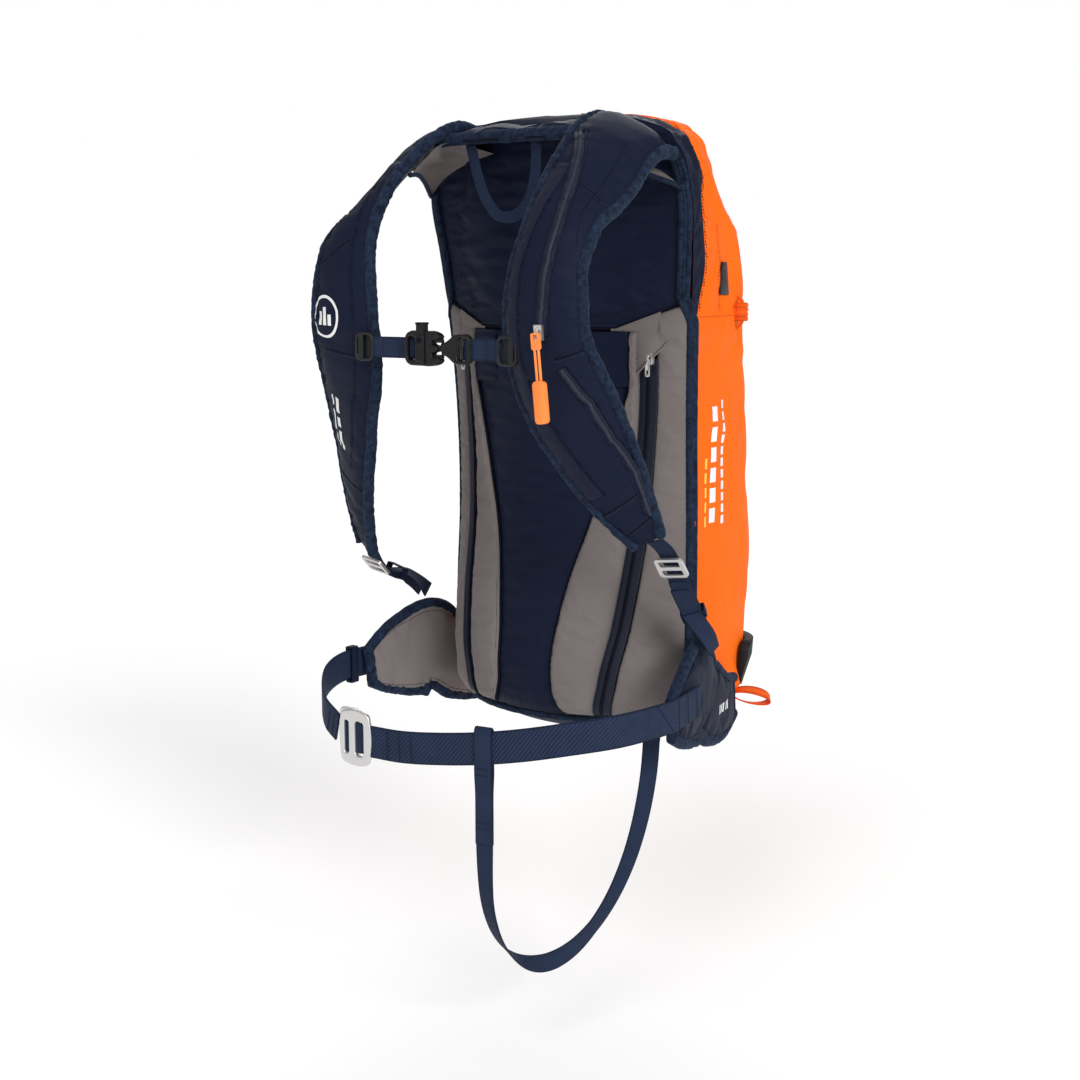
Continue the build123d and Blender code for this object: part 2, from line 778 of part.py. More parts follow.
def cable_housing():
    """Sleeve of the release cable, from the strap pocket over the shoulder to the valve."""
    lift = STRAP_THICK / 2 + 1.6 + CABLE_RADIUS
    outside = []
    for centre, width, normal in reversed(strip_frames(STRAP_RUN)[1:7]):
        outside.append(centre + normal * lift - width.normalized() * CABLE_SIDE)
    points = outside + [Vector(*p) for p in CABLE_INSIDE]
    path = FilletPolyline(*points, radius=corner_radii(points))
    plane = Plane(origin=points[0], z_dir=points[1] - points[0])
    return sweep(plane * Circle(CABLE_RADIUS), path=path)


# ---------------------------------------------------------------- build and export
def build():
    keep("pack_shell", pack_shell())
    flap_parts()
    back_zips()
    keep("back_zip_slider_left", back_zip_slider())
    keep("back_zip_slider_right", mirror_x(back_zip_slider()))
    keep("zip_garages", both_sides(zip_garage()))
    keep("shoulder_yoke", shoulder_yoke())
    keep("shoulder_strap_left", strap_foam(STRAP_RUN))
    keep("shoulder_strap_right", mirror_x(strap_foam(lowered(STRAP_RUN))))
    keep("strap_pocket", strap_pocket())
    keep("strap_facing_right", mirror_x(strap_facing()))
    for name, part in (
        ("sternum_hook", sternum_hook()),
        ("hip_fin", hip_fin()),
    ):
        keep(f"{name}_left", part)
        keep(f"{name}_right", mirror_x(part))
    keep("lower_webbing_left", lower_webbing(LOWER_RUN_LEFT))
    keep("lower_webbing_right", mirror_x(lower_webbing(LOWER_RUN_RIGHT)))
    keep("ladder_lock_left", lock_placed(LOWER_RUN_LEFT))
    keep("ladder_lock_right", mirror_x(lock_placed(LOWER_RUN_RIGHT)))
    keepers = [web_keeper(LOWER_RUN_LEFT), mirror_x(web_keeper(LOWER_RUN_RIGHT))]
    keep("web_keepers", Compound(keepers))
    keep("side_loops", both_sides(side_loop(110)))
    keep("chest_webbing_left", chest_web(46.1, 76.9))
    keep("chest_webbing_right", chest_web(-76.9, -31.1))
    keep("buckle_female", buckle_female())
    keep("buckle_male", buckle_male())
    keep("buckle_prong_upper", buckle_prong(1))
    keep("buckle_prong_lower", buckle_prong(-1))
    keep("strap_tab", strap_tab())
    keep("strap_zip_chain", strap_zip_chain())
    keep("strap_zip_slider", strap_zip_slider())
    keep("strap_zip_puller", zip_puller())
    keep("release_handle", release_handle())
    keep("waist_webbing_left", waist_left())
    keep("waist_webbing_right", waist_right())
    keep("waist_buckle_frame", waist_buckle_frame())
    keep("waist_buckle_ring", waist_buckle_ring())
    keep("waist_keeper", waist_keeper())
    keep("leg_strap_loop", leg_loop())
    keep("leg_strap", leg_strap())
    keep("leg_strap_anchor", leg_anchor())
    keep("haul_loop", haul_loop())
    keep("ski_loops", both_sides(ski_loop()))
    keep("corner_pads", both_sides(corner_pad()))
    keep("front_pocket", front_pocket())
    keep("label_tab", label_tab())
    keep("burst_zip", burst_zip())
    keep("airbag", airbag())
    keep("inflator_housing", inflator_housing())
    keep("inlet_grille", inlet_grille())
    keep("gas_cartridge", gas_cartridge())
    keep("cartridge_strap", cartridge_strap())
    keep("valve_plunger", valve_plunger())
    keep("cable_housing", cable_housing())
    for name, shape in PARTS.items():
        export_step(shape, f"parts/{name}.step")


build()
print(len(PARTS), "sub-parts written")
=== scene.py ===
import bpy
import math
import numpy as np
from mathutils import Matrix, Vector, noise
from mathutils.bvhtree import BVHTree


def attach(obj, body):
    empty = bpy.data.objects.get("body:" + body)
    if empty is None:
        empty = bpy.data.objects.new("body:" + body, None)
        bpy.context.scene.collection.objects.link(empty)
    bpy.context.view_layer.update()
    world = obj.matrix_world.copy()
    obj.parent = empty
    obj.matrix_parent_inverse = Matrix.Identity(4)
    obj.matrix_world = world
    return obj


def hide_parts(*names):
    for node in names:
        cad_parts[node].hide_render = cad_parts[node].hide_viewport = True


# Looks of the avalanche airbag backpack. Shapes are worked out in millimetres and stored in metres.
# x runs to the wearer's left, -y towards the wearer and z up.
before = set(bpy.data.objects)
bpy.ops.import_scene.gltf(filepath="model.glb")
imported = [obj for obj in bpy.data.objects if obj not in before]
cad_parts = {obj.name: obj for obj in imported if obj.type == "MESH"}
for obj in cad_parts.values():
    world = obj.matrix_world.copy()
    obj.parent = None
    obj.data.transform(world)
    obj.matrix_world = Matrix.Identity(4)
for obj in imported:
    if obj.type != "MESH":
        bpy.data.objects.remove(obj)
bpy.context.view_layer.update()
MM = 0.001
SIDES = (("left", False), ("right", True))
TO_WEARER = (0, -1.0, 0)
OUTWARD = (1.0, 0, 0)


def linked(obj):
    """Put a new object in the scene."""
    bpy.context.scene.collection.objects.link(obj)
    return obj


# ---------------------------------------------------------------- camera
AZIMUTH, ELEVATION = math.radians(36), math.radians(9)
EYE = (1.00315, -1.38438, 0.14756)
FOCAL_LENGTH = 55.7
SENSOR_WIDTH = 36


def make_camera():
    back = Vector((math.sin(AZIMUTH) * math.cos(ELEVATION), -math.cos(AZIMUTH) * math.cos(ELEVATION),
                   math.sin(ELEVATION)))
    right = Vector((math.cos(AZIMUTH), math.sin(AZIMUTH), 0))
    turn = Matrix((right, back.cross(right), back)).transposed().to_4x4()
    camera = linked(bpy.data.objects.new("camera", bpy.data.cameras.new("camera")))
    camera.matrix_world = Matrix.Translation(EYE) @ turn
    camera.data.lens = FOCAL_LENGTH
    camera.data.sensor_width = SENSOR_WIDTH
    bpy.context.scene.camera = camera


make_camera()


# ---------------------------------------------------------------- materials
class Nodes:
    """Short helpers for building one material's node tree."""

    def __init__(self, name):
        self.mat = bpy.data.materials.new(name)
        self.mat.use_nodes = True
        self.tree = self.mat.node_tree
        self.out = self.tree.nodes["Principled BSDF"]
        self.uv = self.new("ShaderNodeTexCoord")
        split = self.new("ShaderNodeSeparateXYZ")
        self.link(self.uv.outputs["UV"], split.inputs[0])
        self.u, self.v = split.outputs[0], split.outputs[1]
        self.place = self.uv.outputs["Object"]

    def new(self, kind):
        return self.tree.nodes.new(kind)

    def link(self, a, b):
        self.tree.links.new(a, b)

    def put(self, socket, value):
        """A number or colour is set on the socket, and a node's output is linked to it."""
        if isinstance(value, tuple):
            socket.default_value = (*value, 1.0)
        elif isinstance(value, (int, float)):
            socket.default_value = value
        else:
            self.link(value, socket)

    def math(self, op, *values):
        n = self.new("ShaderNodeMath")
        n.operation = op
        for socket, value in zip(n.inputs, values):
            self.put(socket, value)
        return n.outputs[0]

    def times(self, a, b):
        return self.math("MULTIPLY", a, b)

    def plus(self, a, b):
        return self.math("ADD", a, b)

    def noise(self, scale, detail=3.0, rough=0.5, vector=None):
        n = self.new("ShaderNodeTexNoise")
        for key, value in (("Scale", scale), ("Detail", detail), ("Roughness", rough)):
            n.inputs[key].default_value = value
        self.link(vector or self.place, n.inputs["Vector"])
        return n.outputs[0]

    def wave(self, coord, pitch):
        """Sine from 0 to 1 with the given pitch in metres."""
        s = self.math("SINE", self.math("MULTIPLY_ADD", coord, 2 * math.pi / pitch, 0.0))
        return self.math("MULTIPLY_ADD", s, 0.5, 0.5)

    def mix(self, share, a, b):
        n = self.new("ShaderNodeMix")
        n.data_type = "RGBA"
        for index, value in ((0, share), (6, a), (7, b)):
            self.put(n.inputs[index], value)
        return n.outputs[2]

    def bump(self, height, distance, strength=1.0, before=None):
        n = self.new("ShaderNodeBump")
        n.inputs["Distance"].default_value = distance
        n.inputs["Strength"].default_value = strength
        self.link(height, n.inputs["Height"])
        if before:
            self.link(before, n.inputs["Normal"])
        return n.outputs[0]

    def finish(self, colour, rough, normal=None, **fixed):
        self.put(self.out.inputs["Base Color"], colour)
        self.put(self.out.inputs["Roughness"], rough)
        if normal:
            self.link(normal, self.out.inputs["Normal"])
        for key, value in fixed.items():
            self.put(self.out.inputs[key.replace("_", " ")], value)
        return self.mat


def shade(colour, factor):
    return tuple(c * factor for c in colour)


def woven(name, colour, pitch, deep, sheen, rough, ripstop=0.0):
    """Plain weave with soft unevenness; ripstop adds a grid of thicker threads."""
    n = Nodes(name)
    weave = n.times(n.wave(n.u, pitch), n.wave(n.v, pitch))
    if ripstop:
        lines = [n.math("POWER", n.wave(axis, ripstop), 14.0) for axis in (n.u, n.v)]
        lines = n.math("MAXIMUM", *lines)
        weave = n.plus(n.times(weave, 0.5), lines)
    soft = n.noise(42, 4, 0.55)
    cloud = n.noise(9, 3, 0.6)
    tone = n.math("MULTIPLY_ADD", weave, 0.35, n.times(cloud, 0.65))
    bumped = n.bump(soft, 0.0004)
    bumped = n.bump(weave, deep, 0.8, bumped)
    mixed = n.mix(tone, shade(colour, 0.82), shade(colour, 1.16))
    return n.finish(mixed, rough, bumped, Sheen_Weight=sheen, Sheen_Roughness=0.5, Specular_IOR_Level=0.06)


def webbing(name, colour, half_width, pitch=0.0034, edge=0.0014):
    """Diagonal twill with plain selvedges; u runs along and v across, both in metres."""
    n = Nodes(name)
    diagonal = n.plus(n.u, n.times(n.v, 1.15))
    twill = n.wave(diagonal, pitch)
    cross = n.plus(n.u, n.times(n.v, -1.15))
    fine = n.times(n.wave(cross, pitch * 0.5), 0.35)
    body = n.plus(n.math("POWER", twill, 0.7), fine)
    side = n.math("GREATER_THAN", n.math("ABSOLUTE", n.v), half_width - edge)
    ribs = n.times(n.wave(n.u, 0.0013), 0.7)
    height = n.plus(n.times(body, n.math("SUBTRACT", 1.0, side)), n.times(ribs, side))
    bumped = n.bump(height, 0.0005, 0.9)
    tone = n.math("MULTIPLY_ADD", height, 0.55, n.times(n.noise(60, 2), 0.35))
    mixed = n.mix(tone, shade(colour, 0.25), shade(colour, 1.6))
    return n.finish(mixed, 0.6, bumped, Sheen_Weight=0.0, Specular_IOR_Level=0.1)


def pile(name, colour, painted_sheen):
    """Crushed velour: mottled with painted sheen, a lighter blue mixed in by noise that stands in for the
    light its pile catches at the edges of its folds.
    """
    n = Nodes(name)
    coarse = n.noise(150, 4, 0.7)
    fine = n.noise(900, 2, 0.6)
    ruche = n.noise(70, 3, 0.6)
    # painted sheen: where the coarse noise is high, the lighter colour is mixed in as the light caught by
    # the pile
    painted_sheen_share = n.math("MULTIPLY_ADD", n.math("SUBTRACT", coarse, 0.5), 2.4, 0.40)
    bumped = n.bump(ruche, 0.0022, 0.8)
    bumped = n.bump(n.plus(coarse, n.times(fine, 0.5)), 0.0009, 0.9, bumped)
    painted_sheen_share = n.math("MINIMUM", n.math("MAXIMUM", painted_sheen_share, 0.0), 1.0)
    mixed = n.mix(painted_sheen_share, colour, painted_sheen)
    return n.finish(mixed, 0.85, bumped, Sheen_Weight=0.12, Sheen_Roughness=0.4,
                    Sheen_Tint=(0.3, 0.45, 0.7), Specular_IOR_Level=0.12)


def stretch(name, colour):
    """Smooth knitted stretch fabric with a faint heather."""
    n = Nodes(name)
    knit = n.times(n.wave(n.u, 0.0012), n.wave(n.v, 0.0009))
    heather = n.noise(700, 2, 0.7)
    cloud = n.noise(14, 3)
    tone = n.math("MULTIPLY_ADD", heather, 0.45, n.times(cloud, 0.5))
    bumped = n.bump(n.noise(60, 3), 0.0003)
    bumped = n.bump(n.plus(knit, heather), 0.00008, 0.8, bumped)
    mixed = n.mix(tone, shade(colour, 0.8), shade(colour, 1.2))
    return n.finish(mixed, 0.8, bumped, Sheen_Weight=0.1, Sheen_Roughness=0.5, Specular_IOR_Level=0.12)


def coil(name, colour):
    """A zip: teeth along the middle, tape with fine ribs at both sides."""
    n = Nodes(name)
    middle = n.math("LESS_THAN", n.math("ABSOLUTE", n.v), 0.0022)
    lean = n.plus(n.u, n.math("ABSOLUTE", n.v))
    teeth = n.math("POWER", n.wave(lean, 0.0022), 0.6)
    ribs = n.times(n.wave(n.u, 0.0012), 0.25)
    height = n.plus(n.times(teeth, middle), n.times(ribs, n.math("SUBTRACT", 1.0, middle)))
    mixed = n.mix(height, shade(colour, 0.45), shade(colour, 1.5))
    return n.finish(mixed, 0.5, n.bump(height, 0.0006, 0.9), Specular_IOR_Level=0.25)


def moulded(name, colour, rough=0.38, grain=0.00006, gloss=0.5):
    n = Nodes(name)
    speck = n.noise(1400, 2)
    cloud = n.noise(30, 2)
    mixed = n.mix(cloud, shade(colour, 0.85), shade(colour, 1.15))
    varied = n.math("MULTIPLY_ADD", cloud, 0.16, rough - 0.08)
    return n.finish(mixed, varied, n.bump(speck, grain), Specular_IOR_Level=gloss)


def metal(name, colour, rough=0.34):
    n = Nodes(name)
    brushed = n.new("ShaderNodeMapping")
    brushed.inputs["Scale"].default_value = (1, 1, 14)
    n.link(n.place, brushed.inputs[0])
    streak = n.noise(240, 2, 0.6, brushed.outputs[0])
    varied = n.math("MULTIPLY_ADD", streak, 0.2, rough - 0.1)
    mixed = n.mix(streak, shade(colour, 0.9), shade(colour, 1.05))
    return n.finish(mixed, varied, n.bump(streak, 0.00003), Metallic=0.85)


NAVY = (0.0080, 0.0115, 0.0290)
ORANGE = (0.98, 0.150, 0.004)
GREY = (0.165, 0.144, 0.141)
WEB = (0.0150, 0.0250, 0.0560)

M = {
    "orange": woven("orange_fabric", ORANGE, 0.0013, 0.0001, 0.02, 0.62),
    "navy": woven("navy_fabric", NAVY, 0.0012, 0.0001, 0.0, 0.5),
    "ripstop": woven("navy_ripstop", shade(NAVY, 1.05), 0.0011, 0.0001, 0.0, 0.5, 0.0034),
    "side": woven("light_navy_fabric", (0.0115, 0.0140, 0.0320), 0.0012, 0.0001, 0.03, 0.52),
    "grey": stretch("grey_stretch", GREY),
    # velour: the first colour is the dark pile, the second is painted sheen for the light its pile catches
    "velour": pile("velour", (0.0035, 0.0055, 0.0125), (0.0200, 0.0360, 0.0780)),
    "web20": webbing("webbing_20", WEB, 0.0095),
    "web32": webbing("webbing_32", WEB, 0.0155, 0.0048),
    "orange_web": webbing("orange_webbing", (0.95, 0.12, 0.01), 0.0045, 0.003, 0.001),
    "zip": coil("zip", (0.0115, 0.0165, 0.037)),
    "teeth": moulded("zip_teeth", (0.020, 0.025, 0.046), 0.5, gloss=0.2),
    "black": moulded("black_acetal", (0.009, 0.009, 0.0095), 0.34, gloss=0.22),
    "dark": moulded("dark_grey_moulding", (0.012, 0.0125, 0.015), 0.38, gloss=0.25),
    "clip": moulded("orange_moulding", (1.0, 0.27, 0.05), 0.42, 0.00004),
    "rubber": moulded("black_rubber", (0.009, 0.009, 0.0105), 0.62, 0.0002, 0.2),
    "metal": metal("aluminium", (0.66, 0.65, 0.64), 0.38),
    "steel": metal("painted_cylinder", (0.42, 0.43, 0.45), 0.45),
    "thread": moulded("dark_thread", (0.003, 0.004, 0.009), 0.7, gloss=0.1),
    "blue_thread": moulded("blue_thread", (0.014, 0.021, 0.048), 0.7),
    "orange_thread": moulded("orange_thread", (0.55, 0.055, 0.004), 0.7),
    "white": moulded("white_print", (0.82, 0.82, 0.82), 0.6),
    "yellow": moulded("yellow_print", (0.95, 0.55, 0.06), 0.6),
    "red": moulded("red_print", (0.25, 0.01, 0.015), 0.7),
}


# ---------------------------------------------------------------- meshes
def make(name, verts, faces, uv, mats, face_mats=None, flip=False):
    """One mesh object from millimetre vertices; flip mirrors it to the other side."""
    verts = np.array(verts, float) * MM
    if flip:
        verts[:, 0] *= -1
        faces = [tuple(reversed(f)) for f in faces]
    mesh = bpy.data.meshes.new(name)
    mesh.from_pydata(verts.tolist(), [], faces)
    for m in mats if isinstance(mats, (list, tuple)) else [mats]:
        mesh.materials.append(M[m])
    if face_mats is not None:
        mesh.polygons.foreach_set("material_index", np.array(face_mats, np.int32))
    if uv is not None:
        layer = mesh.uv_layers.new(name="UV")
        index = np.zeros(len(mesh.loops), np.int32)
        mesh.loops.foreach_get("vertex_index", index)
        layer.data.foreach_set("uv", (np.array(uv, np.float32) * MM)[index].ravel())
    mesh.polygons.foreach_set("use_smooth", [True] * len(mesh.polygons))
    mesh.update()
    return linked(bpy.data.objects.new(name, mesh))


def grid_faces(n, m, wrap=False, start=0):
    """Faces of a grid of n rows by m points, numbered from start."""
    faces = []
    for i in range(n - 1):
        for j in range(m if wrap else m - 1):
            a, k = start + i * m, (j + 1) % m
            faces.append((a + j, a + m + j, a + m + k, a + k))
    return faces


def run_length(P):
    """Distance from the first point to each point of a line."""
    return np.r_[0, np.cumsum(np.linalg.norm(np.diff(P, axis=0), axis=1))]


def arc_uv(P):
    """Distances along and across a grid of points."""
    along = np.r_[0, np.cumsum(np.linalg.norm(np.diff(P, axis=0), axis=2).mean(1))]
    across = np.r_[0, np.cumsum(np.linalg.norm(np.diff(P, axis=1), axis=2).mean(0))]
    across -= across[-1] / 2
    U, V = np.meshgrid(along, across, indexing="ij")
    return np.stack([U, V], 2).reshape(-1, 2)


def grid(name, P, mats, wrap=False, caps=False, uv=None, face_mats=None, flip=False):
    """A surface through a grid of points, closed round its rows by wrap and at its ends by caps."""
    n, m = P.shape[:2]
    faces = grid_faces(n, m, wrap)
    if caps:
        faces += [tuple(range(m)), tuple(range((n - 1) * m, n * m))[::-1]]
        if face_mats is not None:
            face_mats = list(face_mats) + [face_mats[0], face_mats[-1]]
    return make(name, P.reshape(-1, 3), faces, arc_uv(P) if uv is None else uv, mats, face_mats, flip)


def hermite(d, K, s):
    """Smooth values at s of rows K that are known at d."""
    slope = np.gradient(K, d, axis=0)
    i = np.clip(np.searchsorted(d, s, side="right") - 1, 0, len(K) - 2)
    h = (d[i + 1] - d[i])[..., None]
    t = (s - d[i])[..., None] / h
    a = (2 * t**3 - 3 * t**2 + 1) * K[i] + (t**3 - 2 * t**2 + t) * h * slope[i]
    return a + (-2 * t**3 + 3 * t**2) * K[i + 1] + (t**3 - t**2) * h * slope[i + 1]


def smooth_line(keys, n):
    """n rows along a smooth line through the keys, evenly spaced."""
    K = np.array(keys, float)
    d = run_length(K[:, :3])
    return hermite(d, K, np.linspace(0, d[-1], n))


def unit(v):
    return v / np.maximum(np.linalg.norm(v, axis=-1, keepdims=True), 1e-9)


class Strip:
    """A smooth run of centres, widths and normals, for straps, fins and webbing."""

    def __init__(self, run, n=60):
        K = smooth_line([(*c, *w) for c, w in run], n)
        self.n = n
        self.C = K[:, :3]
        self.T = unit(np.gradient(self.C, axis=0))
        W = K[:, 3:6]
        W = W - self.T * (W * self.T).sum(1, keepdims=True)
        self.hw = np.linalg.norm(W, axis=1)
        self.W = unit(W)
        self.N = np.cross(self.T, self.W)

    def at(self, i, a, h):
        """Point at station i (may be fractional), a half-widths across and h above the centre."""
        i = np.clip(np.asarray(i, float), 0, self.n - 1)
        lo = np.minimum(i.astype(int), self.n - 2)
        f = (i - lo)[..., None]

        def pick(X):
            X = X if X.ndim > 1 else X[:, None]
            return X[lo] * (1 - f) + X[lo + 1] * f

        a = np.asarray(a, float)[..., None]
        h = np.asarray(h, float)[..., None]
        return pick(self.C) + pick(self.W) * pick(self.hw) * a + pick(self.N) * h


RIBBON_SECTION = [(-1, -0.6)] + [(a, -1) for a in (-0.86, -0.5, 0, 0.5, 0.86)] + [(1, -0.6), (1, 0.6)]
RIBBON_SECTION += [(a, 1) for a in (0.86, 0.5, 0, -0.5, -0.86)] + [(-1, 0.6)]


def ribbon(name, strip, thick, mat, flip=False, narrow=0.0, lift=0.0, rows=None):
    """Flat webbing: a thin rounded section along a strip."""
    P, uv = [], []
    along = run_length(strip.C)
    for i in range(*(rows or (0, strip.n))):
        sides = [a * (strip.hw[i] - narrow) for a, h in RIBBON_SECTION]
        lifts = [lift + h * thick / 2 for a, h in RIBBON_SECTION]
        P.append([strip.C[i] + strip.W[i] * a + strip.N[i] * h for a, h in zip(sides, lifts)])
        uv += [(along[i], a) for a in sides]
    return grid(name, np.array(P), mat, wrap=True, caps=True, uv=np.array(uv), flip=flip)


def tube(name, pts, radii, mat, m=10, flip=False, normals=None, bumpy=0.0, pitch=4.0):
    """Tube along points; radii is one number or (side, normal) half sizes."""
    P = np.array(pts, float)
    T = unit(np.gradient(P, axis=0))
    if normals is None:
        N = unit(np.cross(T, (0.3, 0.2, 0.93)))
        for i in range(1, len(P)):
            v = N[i - 1] - T[i] * (N[i - 1] @ T[i])
            N[i] = v / max(np.linalg.norm(v), 1e-9)
    else:
        N = np.broadcast_to(np.array(normals, float), P.shape)
        N = unit(N - T * (N * T).sum(1, keepdims=True))
    B = np.cross(T, N)
    ra, rb = radii if isinstance(radii, tuple) else (radii, radii)
    rows = []
    for p, b, n in zip(P, B, N):
        row = []
        for j in range(m):
            t = 2 * math.pi * j / m
            k = 1.0
            if bumpy:
                k += bumpy * noise.noise(Vector(p / pitch) + Vector((math.cos(t), math.sin(t), 0)) * 0.6)
            row.append(p + b * (ra * k * math.cos(t)) + n * (rb * k * math.sin(t)))
        rows.append(row)
    return grid(name, np.array(rows), mat, wrap=True, caps=True, flip=flip)


def even(pts, step):
    """Points spaced evenly along a polyline."""
    P = np.array(pts, float)
    d = run_length(P)
    s = np.arange(0, d[-1], step)
    return np.stack([np.interp(s, d, P[:, k]) for k in range(P.shape[1])], 1)


SPINDLE = ((-0.5, 0.15), (-0.35, 0.8), (0, 1.0), (0.35, 0.8), (0.5, 0.15))
SPINDLE_SIDES = 5


def stitches(name, pts, normals, mat, step=3.4, length=2.2, radius=0.35, flip=False):
    """A row of short threads laid along a line, each a small spindle."""
    pts = np.array(pts, float)
    K = even(np.hstack([pts, np.broadcast_to(np.array(normals, float), pts.shape)]), step)
    verts, faces = [], []
    T = unit(np.gradient(K[:, :3], axis=0)) if len(K) > 1 else np.array([[0, 0, 1.0]])
    for c, n, t in zip(K[:, :3], unit(K[:, 3:6]), T):
        b = np.cross(t, n)
        faces += grid_faces(len(SPINDLE), SPINDLE_SIDES, True, len(verts))
        for s, r in SPINDLE:
            for a in 2 * math.pi * np.arange(SPINDLE_SIDES) / SPINDLE_SIDES:
                verts.append(c + t * s * length + (b * math.cos(a) * 1.3 + n * math.sin(a)) * r * radius)
    return make(name, verts, faces, None, mat, flip=flip)


def select(objs):
    bpy.ops.object.select_all(action="DESELECT")
    for obj in objs:
        obj.select_set(True)
    bpy.context.view_layer.objects.active = objs[0]


def join(objs, name):
    """Several meshes as one object."""
    select(objs)
    if len(objs) > 1:
        bpy.ops.object.join()
    objs[0].name = name
    return objs[0]


def done(obj, body, slot, *nodes, padded=None):
    """Attach a finished piece to its body and hide the CAD nodes it stands for; slot is not used."""
    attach(obj, body)
    if nodes:
        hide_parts(*nodes)
    return obj


def apply_modifiers(obj):
    for mod in list(obj.modifiers):
        bpy.ops.object.modifier_apply(modifier=mod.name)


def clone(node, mat, body, slot, bevel=0.5, segments=2):
    """A copy of a CAD node with rounded edges and its own material."""
    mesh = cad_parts[node].data.copy()
    mesh.materials.clear()
    mesh.materials.append(M[mat])
    obj = linked(bpy.data.objects.new(f"{node}_visual", mesh))
    select([obj])
    obj.modifiers.new("weld", "WELD").merge_threshold = 0.00002
    flat = obj.modifiers.new("flat", "DECIMATE")
    flat.decimate_type = "DISSOLVE"
    flat.angle_limit = math.radians(2)
    if bevel:
        b = obj.modifiers.new("bevel", "BEVEL")
        b.width = bevel * MM
        b.segments = segments
        b.limit_method = "ANGLE"
        b.angle_limit = math.radians(32)
        b.harden_normals = True
    apply_modifiers(obj)
    obj.data.polygons.foreach_set("use_smooth", [True] * len(obj.data.polygons))
    bpy.ops.object.shade_auto_smooth(angle=math.radians(38))
    apply_modifiers(obj)
    return done(obj, body, slot, node)


def round_rect(cx, cy, w, h, r):
    """Outline of a rounded rectangle, counter-clockwise."""
    pts = []
    for k, (sx, sy) in enumerate(((1, 1), (-1, 1), (-1, -1), (1, -1))):
        for a in np.linspace(0, math.pi / 2, 6) + k * math.pi / 2:
            pts.append((cx + sx * (w / 2 - r) + r * math.cos(a), cy + sy * (h / 2 - r) + r * math.sin(a)))
    return pts


def plate(outlines, thick, mat, bevel, place):
    """A moulded plate in the X-Z plane: the first outline is its edge, the others are holes."""
    data = bpy.data.curves.new("plate", "CURVE")
    data.dimensions = "2D"
    data.fill_mode = "BOTH"
    data.extrude = (thick / 2 - bevel) * MM
    data.bevel_depth = bevel * MM
    data.bevel_resolution = 3
    data.offset = -bevel * MM
    for outline in outlines:
        spline = data.splines.new("POLY")
        spline.points.add(len(outline) - 1)
        for point, (px, pz) in zip(spline.points, outline):
            point.co = (px * MM, pz * MM, 0, 1)
        spline.use_cyclic_u = True
    curve = linked(bpy.data.objects.new("plate_curve", data))
    bpy.context.view_layer.update()
    mesh = bpy.data.meshes.new_from_object(curve.evaluated_get(bpy.context.evaluated_depsgraph_get()))
    bpy.data.objects.remove(curve)
    mesh.materials.clear()
    mesh.materials.append(M[mat])
    mesh.transform(Matrix.Translation(Vector(place) * MM) @ Matrix.Rotation(math.pi / 2, 4, "X"))
    mesh.polygons.foreach_set("use_smooth", [True] * len(mesh.polygons))
    return linked(bpy.data.objects.new("plate", mesh))


def closed_outline(points, n):
    """Smooth closed outline through points, as n pairs."""
    return smooth_line([(x, 0, z) for x, z in points + points[:1]], n + 1)[:-1][:, [0, 2]]


CLOTH_FRAMES = 16
CLOTH_STIFFNESS = 12.0


def puff(obj, free, pressure, grow, cap):
    """Cloth simulation: fabric a little too large for its seams, blown out by its filling."""
    group = obj.vertex_groups.new(name="held")
    for i, f in enumerate(free.ravel()):
        if f < 1:
            group.add([i], 1.0 - float(f), "REPLACE")
    rest = np.array([v.co for v in obj.data.vertices])
    mod = obj.modifiers.new("cloth", "CLOTH")
    s = mod.settings
    s.quality = 5
    s.mass = 0.2
    s.tension_stiffness = CLOTH_STIFFNESS
    s.compression_stiffness = CLOTH_STIFFNESS
    s.shear_stiffness = CLOTH_STIFFNESS * 0.4
    s.bending_stiffness = 0.25
    s.use_pressure = True
    s.uniform_pressure_force = pressure
    s.vertex_group_mass = "held"
    s.pin_stiffness = 1.0
    s.shrink_min = -grow
    s.shrink_max = -grow
    s.effector_weights.gravity = 0
    mod.collision_settings.use_collision = False
    scene = bpy.context.scene
    for f in range(1, CLOTH_FRAMES + 1):
        scene.frame_set(f)
    got = obj.evaluated_get(bpy.context.evaluated_depsgraph_get())
    move = np.array([v.co for v in got.to_mesh().vertices]) - rest
    got.to_mesh_clear()
    obj.modifiers.remove(mod)
    scene.frame_set(1)
    size = np.linalg.norm(move, axis=1, keepdims=True)
    limit = cap * MM
    move *= limit * np.tanh(size / limit) / np.maximum(size, 1e-9)
    obj.data.vertices.foreach_set("co", (rest + move).ravel())
    obj.data.update()
    obj.vertex_groups.clear()
    return obj


def ripple(P, size, pitch, stretch=(1, 1, 1), seed=0.0):
    """Smooth random heights for an array of points."""
    flat = (P.reshape(-1, 3) / pitch) / np.array(stretch) + seed
    return (np.array([noise.noise(Vector(p)) for p in flat]) * size).reshape(P.shape[:-1])


# ---------------------------------------------------------------- laying trim on puffed fabric
def lay(pts, normals, tree, lift=0.0, reach=26.0):
    """Move points along their normals onto a finished fabric surface."""
    pts = np.array(pts, float)
    out = pts.copy()
    for i, (p, n) in enumerate(zip(pts, unit(np.broadcast_to(np.array(normals, float), pts.shape)))):
        distance = tree.ray_cast(Vector((p + n * reach) * MM), Vector(-n), 2 * reach * MM)[3]
        if distance is not None:
            out[i] = p + n * (reach - distance / MM + lift)
    return out


def skin_of(obj):
    return BVHTree.FromPolygons([v.co for v in obj.data.vertices], [p.vertices for p in obj.data.polygons])


def mirrored(flip, *arrays):
    """Points or directions, taken to the right-hand side if flip is set."""
    return [a * [-1, 1, 1] for a in arrays] if flip else arrays


